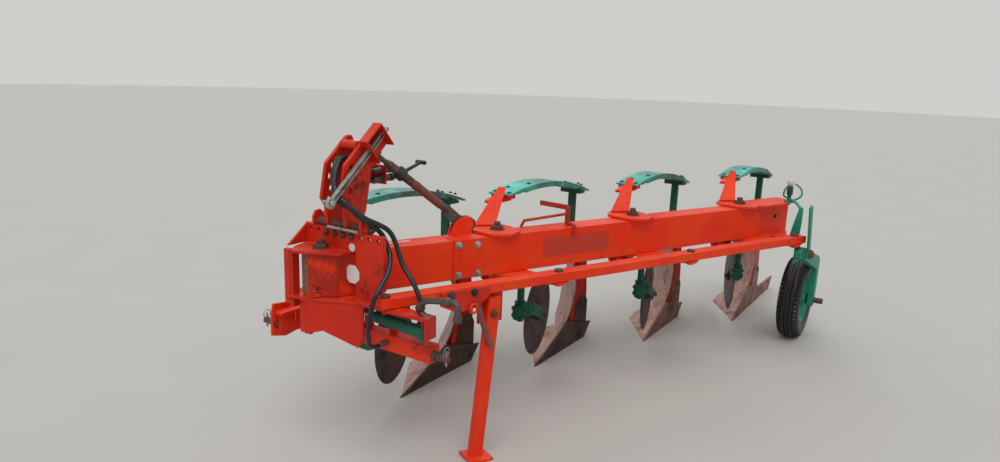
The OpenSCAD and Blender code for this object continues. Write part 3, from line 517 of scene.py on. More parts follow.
# quick couplers: a hexagon sleeve, a ribbed collar round it and a dust cap at the free end
couplerSet = {
    "starts": ((-314.5, 32, 1240), (-314.5, 34, 1204)), "capOut": 60,
    "sleeve": [(0, 0), (15.6, 0), (16, 1), (16, 10.4), (15.2, 11.2), (13, 11.2), (13, 19.6), (16, 20), (16, 35.4),
               (15.4, 36), (13, 36), (13, 62), (0, 62)],
    "collar": [(12.8, 36.5), (14.6, 37), (14.6, 41), (13.6, 42), (14.6, 43), (14.6, 47), (13.6, 48), (14.6, 49),
               (14.6, 53), (12.8, 53.5)],
    "cap": [(0, 0), (15, 0), (16.5, 2), (16.5, 22), (14, 26), (0, 26)]}


# all three profiles are turned round the line that runs to the rear from the hose's start
def makeCouplers(setup):
    metal, caps, rear = [], [], (-1, 0, 0)
    for x, y, z in setup["starts"]:
        metal.append(lathe(setup["sleeve"], place(x, y, z), rear, 6, 0.2))
        metal.append(lathe(setup["collar"], place(x, y, z), rear, 28))
        caps.append(lathe(setup["cap"], place(x - setup["capOut"], y, z), rear, 24))
    makePiece("coupler_sleeves", joinParts(metal), "boltSteel", "headstock", replaced=["couplers"])
    makePiece("coupler_caps", joinParts(caps), "darkSteel", "headstock")


makeCouplers(couplerSet)

# tyre: half of its section as (radius, side, depth of the notch), from the bead round the shoulder to the middle
tyreSet = {
    "centre": (-2968, 1302, 268), "segments": 112,
    "half": [(160.3, 47, 0), (166, 54, 0), (184, 63, 0), (206, 67, 0), (224, 67.8, 0), (226, 66.6, 0), (229, 67.6, 0),
             (240, 66, 8), (254, 60, 15), (262, 52, 15), (265, 42, 12), (257, 40, 0), (257, 36, 0), (266, 34, 3),
             (266.5, 28, 0), (267, 20, 0), (267, 14, 3), (259, 12.5, 0), (259, 9.5, 0), (268, 8, 3)]}


# the half section is mirrored and swept round the axle; on every second segment its points sink by the notch's depth
def makeTyre(setup):
    half, n = setup["half"], setup["segments"]
    profile = np.array(half + [(r, -y, depth) for r, y, depth in half[::-1]], float)
    angle = np.linspace(0, 2 * math.pi, n, endpoint=False)[:, None]
    radius = (profile[:, 0] - (np.arange(n) % 2)[:, None] * profile[:, 2]) / 1000
    side = np.broadcast_to(profile[:, 1] / 1000, radius.shape)
    points = np.stack([radius * np.cos(angle), side, radius * np.sin(angle)], 2).reshape(-1, 3)
    tread = points + place(*setup["centre"]), ringFaces(n, len(profile), True)
    makePiece("tyre_tread", tread, "tyreRubber", "wheel", angle=24, replaced=["tyre"])


makeTyre(tyreSet)

# rim: one turned shell with both flanges, the well and the dished centre, five nuts and a hub cap
rimSet = {
    "shell": [(159.5, -55), (162.5, -54), (162.5, -50), (158, -46), (150, -40), (138, -34), (134, -12), (136, 16),
              (150, 34), (158, 46), (162.5, 50), (162.5, 54), (159.5, 55), (156, 52), (152, 40), (140, 24), (128, 14),
              (118, 6), (96, 2), (70, 6), (56, 20), (50, 24), (48, 60), (44, 62), (19, 62), (19, -50), (50, -50),
              (52, 4), (68, -2), (96, -6), (124, 0), (130, -14), (134, -38), (148, -46), (156, -52)],
    "nuts": 5, "nut": 13, "circle": 78, "face": 3, "cap": [(19.2, 61), (34, 61), (34, 70), (26, 76), (19.2, 77)]}


# the section is turned into one closed shell, and the nuts stand evenly on their circle
def makeRim(setup, centre):
    at, axle = place(*centre), (0, 1, 0)
    makePiece("rim_shell", lathe(setup["shell"], at, axle, 48, loop=True), "armPaint", "wheel",
              replaced=["wheel_rim"])
    parts = []
    for a in 2 * math.pi * np.arange(setup["nuts"]) / setup["nuts"] + 0.4:
        offset = np.array([math.cos(a) * setup["circle"], setup["face"], math.sin(a) * setup["circle"]])
        parts.append(boltPart(at + offset / 1000, axle, setup["nut"]))
    parts.append(lathe(setup["cap"], at, axle, 24))
    makePiece("rim_nuts", joinParts(parts), "darkSteel", "wheel")


makeRim(rimSet, tyreSet["centre"])
print("wheel made")

# Coulters, in millimetres back, left and up: the sharpened disc with its hub, and the cast arm that holds it on the
# stalk. Each casting's section ends with its half width and half height.
coulterSet = {
    "turns": (18, 12, 13, 24), "stalkAt": (-340, -60, 0), "hub": (284, 4, 340), "blockAt": (0, 0, 442),
    "disc": [(11.5, -18), (30, -18), (34, -14), (34, -4), (90, -2.5), (222, -2.5), (230, -0.2), (230, 0.2),
             (222, 2.5), (90, 2.5), (38, 4), (38, 16), (34, 18), (11.5, 18)],
    "discBolts": 4, "discBolt": 7, "discCircle": 22, "discFace": -18, "clampBolt": 11,
    "clamps": ((-26, -33, -18), (-26, -33, 20), (-26, 33, -18), (-26, 33, 20)), "axleNuts": ((45, 16), (-19, 15)),
    "armFromBlock": [(30, 12, 0, 26, 40), (62, 30, 0, 18, 38), (110, 38, -16, 13, 36), (170, 40, -44, 11.5, 33),
                     (230, 40, -78, 11, 33)],
    "armFromHub": [(-12, 36, 0, 11, 34), (22, 36, 0, 11, 27), (36, 36, 0, 10, 16)],
    "block": [(-44, 0, 0, 22, 30), (-40, 0, 0, 29, 40), (-20, 0, 0, 33, 42), (20, 0, 0, 33, 42), (42, 0, 0, 29, 40),
              (46, 0, 0, 20, 30)],
    "stalk": [(0, 388), (17, 388), (19, 390), (19, 742.5), (0, 742.5)],
    "collar": [(19, 484), (30, 484), (32, 486), (32, 494), (30, 496), (19, 496)],
    "boss": [(0, 27), (24, 27), (27, 30), (27, 46), (24, 49), (0, 49)],
    "axle": [(0, -22), (11, -22), (11, 30), (0, 30)],
}


# the disc is a looped profile turned round the axle; the arm runs through its sections from the block, round the side
# of the disc and down to the hub
def makeCoulter(k, setup):
    turn = math.radians(setup["turns"][k - 1])
    back = np.array([-math.cos(turn), -math.sin(turn), 0.0])
    left = np.array([-math.sin(turn), math.cos(turn), 0.0])

    # a point from another one by the coulter's own three directions
    def off(origin, x, y, z):
        return origin + (back * x + left * y + upward * z) / 1000

    stem = unitPlace(k, *setup["stalkAt"])
    hub, block = off(stem, *setup["hub"]), off(stem, *setup["blockAt"])
    disc, body, number = "disc_" + str(k), unitBody(k), "_" + str(k)
    makePiece("disc_blade" + number, lathe(setup["disc"], hub, left, 64, loop=True), "discSteel", disc,
              replaced=["coulter_disc" + number])
    r, face = setup["discCircle"], setup["discFace"]
    bolts = [boltPart(off(hub, r * math.cos(a), face, r * math.sin(a)), -left, setup["discBolt"], stub=0.3)
             for a in math.pi / 4 + np.arange(setup["discBolts"]) * 2 * math.pi / setup["discBolts"]]
    makePiece("disc_bolts" + number, joinParts(bolts), "boltSteel", disc)
    arm = [(off(block, *at), wide, high) for *at, wide, high in setup["armFromBlock"]]
    arm += [(off(hub, *at), wide, high) for *at, wide, high in setup["armFromHub"]]
    jaws = [(off(block, *at), wide, high) for *at, wide, high in setup["block"]]
    parts = [casting(arm, left, upward, 28, 3.2), casting(jaws, left, upward, 28, 5.0),
             lathe(setup["stalk"], stem, upward, 28), lathe(setup["collar"], stem, upward, 28),
             lathe(setup["boss"], off(hub, 0, -4, 0), left, 28), lathe(setup["axle"], hub, left, 20)]
    makePiece("coulter_casting" + number, joinParts(parts), "coulterPaint", body,
              replaced=["coulter_arm" + number])
    clamps = [boltPart(off(block, x, y, z), left * np.sign(y), setup["clampBolt"], stub=0.1, head=0.4, washer=False)
              for x, y, z in setup["clamps"]]
    makePiece("coulter_nuts" + number, joinParts(clamps), "coulterPaint", body)
    axleNuts = [boltPart(off(hub, 0, y, 0), left * np.sign(y), d) for y, d in setup["axleNuts"]]
    makePiece("axle_nuts" + number, joinParts(axleNuts), "rustyBolt", body)


for k in units:
    makeCoulter(k, coulterSet)
print("coulters made")

# leaf springs: dark bolts along the top leaf and the clamp at the strut; the top is an arc above a chord
springSet = {"front": (-224, -141, 1074), "length": 880, "drop": 80, "rise": 60,
             "bolts": ((26, 42), (26, -42), (112, -22), (236, 26), (700, 20)), "bolt": 13, "clamp": 792, "clampSide": 42,
             "clampBar": [(-34, -7), (34, -7), (34, 7), (-34, 7)], "clampThick": 9, "clampBolt": 10,
             "clampBoltAt": 21}


# a point on the spring's top: distance along the chord, height of the circle above it, both tilted by the drop
def springTop(k, distance, side, setup):
    chord = math.hypot(setup["length"], setup["drop"])
    radius = ((chord / 2) ** 2 + setup["rise"] ** 2) / (2 * setup["rise"])
    tilt = math.atan(setup["drop"] / setup["length"])
    lift = math.sqrt(radius ** 2 - (distance - chord / 2) ** 2) - (radius - setup["rise"])
    lean = math.asin((distance - chord / 2) / radius)
    x, y, z = setup["front"]
    at = unitPlace(k, x - distance * math.cos(tilt) - lift * math.sin(tilt), y + side,
                   z - distance * math.sin(tilt) + lift * math.cos(tilt))
    return at, np.array([-math.sin(lean + tilt), 0.0, math.cos(lean + tilt)])


# domes stand square on the top leaf; at the clamp a flat bar lies along each edge, with a bolt near each of its ends
def makeSpringBolts(k, setup):
    parts = [domePart(*springTop(k, distance, side, setup), setup["bolt"]) for distance, side in setup["bolts"]]
    at, normal = springTop(k, setup["clamp"], 0, setup)
    forward = np.cross([0.0, 1.0, 0.0], normal)
    for side in (-1, 1):
        middle = at + np.array([0, side * setup["clampSide"] / 1000, 0])
        parts.append(prism(setup["clampBar"], middle + normal * 0.0002, forward, (0, 1, 0), -setup["clampThick"]))
        for end in (-1, 1):
            top = middle + (normal * setup["clampThick"] + forward * end * setup["clampBoltAt"]) / 1000
            parts.append(boltPart(top, normal, setup["clampBolt"], stub=0.15, washer=False))
    makePiece("spring_bolts_" + str(k), joinParts(parts), "darkSteel", unitBody(k), bevel=0.8)


for k in units:
    makeSpringBolts(k, springSet)

# nuts on the pins of the moving brackets, and the flat heads of the steering bar's bolts
nutSet = {"pin": (0, 0, 951), "washer": [(0, 0), (37, 0), (37, 2.6), (35, 3.4), (0, 3.4)],
          "nut": [(0, -0.5), (31.2, -0.5), (31.2, 15), (28, 18.2), (17, 18.2), (17, 34), (14.5, 36), (0, 36)],
          "bar": (-30, 322, 800), "head": [(0, 0), (22, 0), (22, 2.5), (18.8, 2.6), (18.8, 8), (16.5, 10), (0, 10)]}


# upright turned parts: a nut of six sides over its round washer, and a head of twelve
def makeNuts(k, setup):
    pin = unitPlace(k, *setup["pin"])
    parts = [lathe(setup["nut"], pin, upward, 6), lathe(setup["washer"], pin, upward, 28)]
    makePiece("pin_nut_" + str(k), joinParts(parts), "rustyBolt", "beam" if k == 1 else unitBody(k))
    head = lathe(setup["head"], unitPlace(k, *setup["bar"]), upward, 12)
    makePiece("bar_bolt_" + str(k), head, "rustyBolt", unitBody(k))


for k in units:
    makeNuts(k, nutSet)

# legs: three bolts through the cheeks as (x, z, diameter, half width of the cheeks), and one above the landside
legSet = {"middle": -165, "cheek": ((-240, 650, 24, 46.3), (-366, 706, 16, 24.3), (-366, 640, 14, 24.3)),
          "tab": (-1240, -143.8, 258), "tabBolt": 15}


# each bolt through the cheeks shows a head on both sides, half their width from the leg's middle
def makeLegBolts(k, setup):
    parts = [boltPart(unitPlace(k, x, setup["middle"] + side * half, z), (0, side, 0), d)
             for x, z, d, half in setup["cheek"] for side in (-1, 1)]
    parts.append(boltPart(unitPlace(k, *setup["tab"]), (0, 1, 0), setup["tabBolt"], stub=0.2))
    makePiece("leg_bolts_" + str(k), joinParts(parts), "rustyBolt", unitBody(k))


for k in units:
    makeLegBolts(k, legSet)
print("bolts set")

# the beam's front plate: weld seam, four zinc bolts, the faded patch, the strip and the bare nose
beamSet = {"face": 75, "top": 937.4, "bolt": 15, "seam": -577, "seamRadius": 0.0022, "seamWave": 0.7,
           "seamFoot": 758.5, "seamHeight": 177, "seamDepth": 100,
           "bolts": ((-604, 914), (-702, 908), (-605, 776), (-707, 774)),
           "patch": (-1482, -1069, 806, 903), "patchCorner": 6, "strip": (-403, -305, -20, -5),
           "nose": (-44, 32, 759, 935), "noseFace": 64.1}


# the seam is a thin rod whose path waves along the beam by a sine, up the face and across the top; the rest are plates
def makeBeamTrim(setup):
    face, seam, radius = setup["face"], setup["seam"], setup["seamRadius"]
    parts = [boltPart(beamPlace(u, face, z), across, setup["bolt"]) for u, z in setup["bolts"]]
    makePiece("beam_bolts", joinParts(parts), "zinc", "beam")
    t = np.linspace(0, 1, 40)
    wave = seam + np.sin(np.arange(40) * 2.1) * setup["seamWave"]
    path = [beamPlace(w, face + 0.4, setup["seamFoot"] + setup["seamHeight"] * i) for i, w in zip(t, wave)]
    top = [beamPlace(w, face - 2 - setup["seamDepth"] * i, setup["top"]) for i, w in zip(t, wave)]
    makePiece("beam_seam", joinParts([tube(path, radius, 8), tube(top, radius, 8)]), "headPaintShaded", "beam")
    u0, u1, z0, z1 = setup["patch"]
    c = setup["patchCorner"]
    outline = [(u0 + c, z0), (u1 - c, z0), (u1, z0 + c), (u1, z1 - c), (u1 - c, z1), (u0 + c, z1), (u0, z1 - c),
               (u0, z0 + c)]
    patch = prism(outline, beamPlace(0, face + 0.1, 0), along, upward, -0.5)
    makePiece("faded_patch", patch, "fadedPatch", "beam")
    u0, u1, v0, v1 = setup["strip"]
    strip = prism([(u0, v0), (u1, v0 + 4), (u1, v1 + 2), (u0, v1)], beamPlace(0, 0, 937.1), along, across, 0.5)
    makePiece("plain_strip", strip, "plainSticker", "beam")
    v0, v1, z0, z1 = setup["nose"]
    nose = prism([(v0, z0), (v1, z0 + 3), (v1 - 4, z1), (v0, z1)], beamPlace(setup["noseFace"], 0, 0), across, upward,
                 1.2)
    makePiece("worn_strip", nose, "wornNose", "beam", bevel=0.4)


makeBeamTrim(beamSet)

# the row plate: rusty bolts in four of its holes and two plain stickers below, as (y, z, radius, sides)
rowSet = {"x": -45, "thick": 16, "first": -105, "pitch": 47, "z": 1010, "bolts": (2, 3, 4, 5),
          "bolt": 16, "rearBolt": 20, "stickers": ((131.5, 965, 17, 32), (132.5, 854, 41, 8))}


# heads in front and behind at even pitch along the row; a sticker is a thin plate with an even number of sides
def makeRowTrim(setup):
    x, z = setup["x"], setup["z"]
    rows = [(n, setup["first"] + n * setup["pitch"]) for n in setup["bolts"]]
    parts = [boltPart(place(x, y, z), (1, 0, 0), setup["bolt"], stub=0.2, washer=False, turn=n) for n, y in rows]
    parts += [boltPart(place(x - setup["thick"], y, z), (-1, 0, 0), setup["rearBolt"]) for n, y in rows]
    makePiece("row_bolts", joinParts(parts), "rustyBolt", "headstock")
    stickers = []
    for y, z, r, sides in setup["stickers"]:
        angle = (np.arange(sides) + 0.5) * 2 * math.pi / sides
        outline = np.stack([np.cos(angle) * r, np.sin(angle) * r], 1)
        stickers.append(prism(outline, place(x + 0.1, y, z), (0, 1, 0), upward, 0.5))
    makePiece("plain_stickers", joinParts(stickers), "plainSticker", "headstock")


makeRowTrim(rowSet)

# bar beside the mast: an open channel between its pin and its fork at the upper end, with an eye at the foot
linkSet = {"low": (90, 145, 1156), "high": (-205, 145, 1407), "start": 22, "eyeAt": 13, "forkAt": 4,
           "section": [(-11, 8), (-11, -8), (-8, -8), (-8, 4), (8, 4), (8, -8), (11, -8), (11, 8)],
           "eye": [(9, -7), (21, -7), (23, -5), (23, 5), (21, 7), (9, 7)],
           "pin": [(0, -40), (8, -40), (8, 8), (12, 8), (12, 13), (10, 15), (0, 15)],
           "fork": [(0, -9), (34, -9), (44, 0), (34, 9), (0, 9)], "forkSides": (-12, 8), "forkThick": 4}


# the section is pushed along the bar; a looped profile turned round the pin makes the eye, and two plates the fork
def makeLinkBar(setup):
    low, high = place(*setup["low"]), place(*setup["high"])
    w = (high - low) / np.linalg.norm(high - low)
    side = np.cross(w, (0, 1, 0))
    start, eyeAt = low + w * setup["start"] / 1000, low + w * setup["eyeAt"] / 1000
    parts = [prism(setup["section"], start, side, np.cross(w, side), np.linalg.norm(high - start) * 1000),
             lathe(setup["eye"], eyeAt, (0, 1, 0), 32, loop=True), lathe(setup["pin"], eyeAt, (0, 1, 0), 20)]
    for y in setup["forkSides"]:
        at = high + (w * setup["forkAt"] + np.array([0, y, 0])) / 1000
        parts.append(prism(setup["fork"], at, w, side, setup["forkThick"]))
    makePiece("link_channel", joinParts(parts), "zinc", "headstock", bevel=0.6, replaced=["top_link_bar"])


makeLinkBar(linkSet)

# foot of the mast: rusty sleeve round the cross tube, a pale rod below it, two ears and two bolts
mastFootSet = {"x": -53, "z": 1048.3, "sleeve": (-58, 196), "rod": (-23, 18, 1039.3), "ears": (-62, 200),
               "earThick": 12, "earOutline": [(-30, -16), (26, -16), (30, 20), (14, 44), (-10, 46), (-30, 24)],
               "endBolt": (-55, 224, 1050.3), "plateBolt": (-40, 108, 1243)}


# sleeve and rod are turned round lines that run across the mast, and the ears are plates round the sleeve's ends
def makeMastFoot(setup):
    x, z = setup["x"], setup["z"]
    y0, y1 = setup["sleeve"]
    outline = [(0, 0), (17.4, 0), (17.4, 60), (16.6, 61), (17.4, 62), (17.4, y1 - y0), (0, y1 - y0)]
    makePiece("mast_sleeve", lathe(outline, place(x, y0, z), (0, 1, 0), 28), "rustyBolt", "headstock")
    rod = lathe([(0, 0), (6, 0), (7, 1), (7, 168), (6, 169), (0, 169)], place(*setup["rod"]), (0, 1, 0), 16)
    makePiece("mast_rod", rod, "zinc", "headstock")
    ears = [prism(setup["earOutline"], place(x, y, z), (1, 0, 0), upward, setup["earThick"]) for y in setup["ears"]]
    makePiece("mast_ears", joinParts(ears), "headPaintShaded", "headstock", bevel=2)
    parts = [boltPart(place(*setup["endBolt"]), (0, 1, 0), 18),
             boltPart(place(*setup["plateBolt"]), (0, 1, 0), 20, stub=0)]
    makePiece("mast_bolts", joinParts(parts), "rustyBolt", "headstock")


makeMastFoot(mastFootSet)


# a plate with one hole: rays from the hole's middle meet both outlines, and the points they meet are bridged
def slottedPlate(outer, hole, origin, right, up, thickness, rays=72):
    outer, hole = np.asarray(outer, float), np.asarray(hole, float)
    middle = hole.mean(0)
    angle = np.linspace(-math.pi, math.pi, rays, endpoint=False)
    ray = np.stack([np.cos(angle), np.sin(angle)], 1)
    dx, dy = ray[:, :1], ray[:, 1:]

    # how far each ray goes to the outline: the farthest of the edges that it crosses
    def reach(outline):
        x, y = (outline - middle).T
        ex, ey = (np.roll(outline, -1, 0) - outline).T
        det = dy * ex - dx * ey
        det = np.where(np.abs(det) > 1e-9, det, np.inf)
        far, edge = (y * ex - x * ey) / det, (dx * y - dy * x) / det
        met = (far > 0) & (edge >= -1e-9) & (edge <= 1 + 1e-9)
        return np.where(met, far, 0).max(1, keepdims=True)

    outside, inside = (middle + ray * reach(o) for o in (outer, hole))
    right, up = (np.asarray(d, float) / np.linalg.norm(d) for d in (right, up))
    normal = np.cross(right, up) * thickness / 1000
    layers = [np.asarray(origin) + ring[:, :1] / 1000 * right + ring[:, 1:] / 1000 * up + normal * half
              for ring, half in ((outside, -0.5), (outside, 0.5), (inside, 0.5), (inside, -0.5))]
    return np.concatenate(layers), ringFaces(4, rays, True)


# stay: brown tube, its bare steel socket, the bare steel foot plate with its slot, and a T handle near the top
staySet = {
    "top": (-250, 58, 1325), "foot": (-690, -22, 983), "tube": (0.15, 0.72),
    "eye": [(12.4, -22), (23, -22), (24, -20), (24, 14), (23, 16), (12.4, 16)],
    "pin": [(0, -54), (12, -54), (12, 38), (0, 38)],
    "knuckle": [(-18, 16), (-14, 22), (14, 22), (18, 16), (18, -16), (14, -22), (-14, -22), (-18, -16)],
    "footPlate": [(-118, 76), (-84, 98), (-30, 46), (36, 26), (50, 14), (50, -14), (36, -26), (-30, -26), (-62, 0)],
    "footThick": 11, "slot": (-5, 24), "slotRadius": 12,
    "footBar": [(0, 120), (15, 120), (17, 124), (17, 178), (14, 184), (0, 184)],
    "grip": [(19.4, -18), (27, -18), (30, -14), (30, 14), (27, 18), (19.4, 18)],
    "gripAt": 155, "lever": (-0.96, 0.0, 0.27),
}


# Everything is turned round the line from top to foot or lies along it; lengths run from the top in millimetres. The
# slot is two half circles joined by straight sides.
def makeStay(setup):
    top, foot = place(*setup["top"]), beamPlace(*setup["foot"])
    length = np.linalg.norm(foot - top) * 1000
    w = (foot - top) * 1000 / length
    a, b = (share * length for share in setup["tube"])
    socket = [(0, 30), (11, 30), (11, a - 14), (15, a - 12), (15, a), (19.4, a + 3), (19.4, a + 60), (17.5, a + 62),
              (17.5, a + 66), (19.4, a + 68), (19.4, a + 128), (17, a + 131), (0, a + 131)]
    body = [(0, a + 130), (19, a + 130), (19, a + 150), (20.5, a + 152), (20.5, a + 176), (19, a + 178), (19, b - 4),
            (15, b), (15, b + 14), (0, b + 14)]
    makePiece("stay_socket", lathe(socket, top, w, 28), "bareSteel", "stay")
    makePiece("stay_tube", lathe(body, top, w, 28), "stayPaint", "stay", replaced=["stay"])
    flat = np.cross(w, np.cross(upward, w))
    level = w * [1, 1, 0] / np.linalg.norm(w[:2])
    r, (near, far) = setup["slotRadius"], setup["slot"]
    half = np.linspace(-math.pi / 2, math.pi / 2, 9)
    slot = [(far + r * math.cos(t), r * math.sin(t)) for t in half]
    slot += [(near - r * math.cos(t), r * math.sin(t)) for t in half[::-1]]
    parts = [lathe([(0, b), (13, b), (13, length - 128), (0, length - 128)], top, w, 20),
             lathe(setup["eye"], top, upward, 28, loop=True), lathe(setup["pin"], top, upward, 20),
             prism(setup["knuckle"], top + w * 0.024, np.cross(w, flat), flat, 14),
             slottedPlate(setup["footPlate"], slot, foot, level, upward, setup["footThick"]),
             lathe(setup["footBar"], foot, -w, 20)]
    makePiece("stay_clevis", joinParts(parts), "bareSteel", "stay", bevel=0.8)
    grip = top + w * setup["gripAt"] / 1000
    lever = np.array(setup["lever"]) / np.linalg.norm(setup["lever"])
    cross = np.cross(lever, upward)
    cross /= np.linalg.norm(cross)
    tee = [lathe(setup["grip"], grip, w, 24),
           tube([grip + lever * 0.022, grip + lever * 0.09, grip + lever * 0.138], 0.0075, 12),
           tube([grip + lever * 0.138 - cross * 0.024, grip + lever * 0.14, grip + lever * 0.138 + cross * 0.026],
                0.0095, 12)]
    makePiece("stay_handle", joinParts(tee), "darkSteel", "stay")


makeStay(staySet)
print("mast dressed")

# width cylinder: gland, two collars, and the elbow pipe with its nuts and foot
cylinderSet = {
    "barrel": (-55, 496, 684), "rod": (-118, -10, 684),
    "gland": [(15, 246), (26, 246), (27.5, 248), (27.5, 268), (26, 271), (21, 272), (20, 276), (15, 276)],
    "collars": (34, 232),
    "elbow": [(-60, 470, 772), (-56, 500, 812), (-55, 545, 824), (-55, 600, 832), (-55, 644, 834), (-55, 657, 815),
              (-55, 656, 765)],
    "foot": [(-60, 529, 747), (-60, 500, 752), (-60, 470, 770)],
    "nut": [(12, 0), (18, 0), (19, 2), (19, 20), (18, 22), (12, 22)],
    "middle": [(12.5, 0), (17, 0), (18, 2), (18, 26), (17, 28), (12.5, 28)],
}


# gland and collars are turned round the line from barrel to rod; the elbow is a round rod along a smoothed path
def makeCylinderTrim(setup):
    start, end = place(*setup["barrel"]), place(*setup["rod"])
    w = end - start
    parts = [lathe(setup["gland"], start, w, 36)]
    parts += [lathe([(25.1, z), (26.4, z + 1), (26.4, z + 9), (25.1, z + 10)], start, w, 36) for z in setup["collars"]]
    makePiece("cylinder_gland", joinParts(parts), "coulterPaint", "barrel")
    path = smoothPath([place(*p) for p in setup["elbow"]], 6)
    mid = len(path) // 2
    parts = [tube(path, 0.0125, 16), tube([place(*p) for p in setup["foot"]], 0.012, 14),
             lathe(setup["middle"], path[mid], path[mid + 1] - path[mid], 6, 0.2),
             lathe(setup["nut"], path[0], path[2] - path[0], 6, 0.2),
             lathe(setup["nut"], path[-1], path[-3] - path[-1], 6, 0.2)]
    makePiece("elbow_pipe", joinParts(parts), "bareSteel", "headstock")


makeCylinderTrim(cylinderSet)

# hitch pins, as (root, length, side): a bare steel skin, a bare shoulder, and a linch pin with its ring
hitchSet = {"pins": (((-130, 502, 566), 60, 1), ((-10, -300.3, 556), 69.7, -1)), "linchIn": 10, "ring": 18}


# a skin of bare steel a quarter of a millimetre thick is turned round each painted solid pin; rods make the linch pin
def makeHitchTrim(setup):
    parts, skins = [], []
    angle = np.linspace(0, 2 * math.pi, 24, endpoint=False)
    circle = np.stack([np.cos(angle), 0 * angle, np.sin(angle)], 1) * setup["ring"] / 1000
    for start, length, side in setup["pins"]:
        at, axis = place(*start), np.array([0.0, side, 0.0])
        skin = [(14, 0), (14.25, 0), (14.25, length - 2.6), (12.4, length + 0.3), (0, length + 0.3)]
        skins.append(lathe(skin, at, axis, 28))
        skins.append(lathe([(14, -16), (22.3, -16), (22.3, -1.5), (21, 0.2), (14, 0.2)], at, axis, 28))
        hole = at + axis * (length - setup["linchIn"]) / 1000
        parts.append(tube([hole - upward * 0.03, hole, hole + upward * 0.034], 0.0042, 10))
        ring = hole + upward * 0.03 + circle
        parts.append(tube(np.vstack([ring, ring[:1]]), 0.0018, 8))
    makePiece("hitch_pin_skins", joinParts(skins), "bareSteel", "headstock")
    makePiece("hitch_linch_pins", joinParts(parts), "zinc", "headstock")


makeHitchTrim(hitchSet)

# Parking stand, along and across the steering bar from its pivot: bolts of its plates and of its pin, the catch ring
# on its post, and the tube beside the leg
standSet = {"bolts": ((-270, 779), (-380, 779)), "faces": (47.3, -35), "pin": (-482, 47, 668), "ring": (-374, 56, 712),
            "ringSize": (17, 19), "post": ((-370, 47, 724), (-372, 54, 726)),
            "tube": ((-396, 56, 716), (-418, 58, 640), (-462, 58, 536)), "hanger": ((-392, 40, 722), (-394, 56, 722)),
            "cap": [(0, 0), (12, 0), (13, 2), (13, 14), (0, 14)]}


# a point near the steering bar: its pivot's place plus lengths along and across the beam's direction
def barPlace(u, v, z):
    return place(-30, 322, 0) + (beamPlace(u, v, z) - pivot)


# heads on both sides of the plates; the ring is a round rod bent to an ellipse, and the tube follows a smoothed path
def makeStandTrim(setup):
    parts = [boltPart(barPlace(u, v, z), across if v > 0 else -across, 15)
             for v in setup["faces"] for u, z in setup["bolts"]]
    makePiece("stand_bolts", joinParts(parts), "darkSteel", "bar")
    head = boltPart(barPlace(*setup["pin"]), across, 15, stub=0.2)
    makePiece("stand_pivot_bolt", head, "rustyBolt", "bar")
    (u, v, z), (wide, high) = setup["ring"], setup["ringSize"]
    ring = [barPlace(u + math.cos(a) * wide, v, z + math.sin(a) * high) for a in np.linspace(0, 2 * math.pi, 29)]
    post = tube([barPlace(*p) for p in setup["post"]], 0.008, 12)
    makePiece("stand_ring", joinParts([tube(ring, 0.0058, 12), post]), "framePaint", "bar")
    path = smoothPath([barPlace(*p) for p in setup["tube"]], 5)
    parts = [tube(path, 0.0125, 14), tube([barPlace(*p) for p in setup["hanger"]], 0.009, 12),
             lathe(setup["cap"], path[-1], path[-1] - path[-3], 16)]
    makePiece("stand_lever", joinParts(parts), "stayPaint", "bar")


makeStandTrim(standSet)

# depth wheel: link plate behind the beam's end, the crank's bent rods with their brace, its pale knob and its thread
crankSet = {
    "plateAt": (-2470, 1318, 0),
    "plate": [(-12, 757), (44, 757), (50, 860), (50, 940), (40, 952), (28, 944), (6, 850)], "plateThick": 9,
    "rods": (((-2592, 1258, 975), (-2572, 1230, 992), (-2574, 1234, 1030), (-2592, 1256, 1062), (-2592, 1262, 1070)),
             ((-2592, 1258, 968), (-2560, 1296, 974), (-2548, 1334, 1006), (-2560, 1326, 1044), (-2584, 1290, 1066))),
    "brace": ((-2474, 1356, 938), (-2530, 1316, 962), (-2586, 1262, 974)),
    "screw": (-2592, 1258, 0), "thread": (968, 1056, 4),
    "knob": [(0, 1050), (12, 1051), (18, 1056), (21, 1065), (21, 1074), (18, 1085), (12, 1091.5), (0, 1093)],
    "sleeve": [(11.1, 996), (17, 998), (18, 1004), (17, 1040), (14, 1048), (11.1, 1050)],
    "floorBolts": ((-2390, 1240, 755), (-2420, 1268, 755)), "boxBolt": (-2850, 32, 858),
    "armBolt": (-2430, 1439.2, 690), "axleAt": (-2968, 0, 268),
    "axle": [(0, 1413), (18.3, 1413), (18.3, 1466), (16.5, 1468.04), (0, 1468.04)],
}


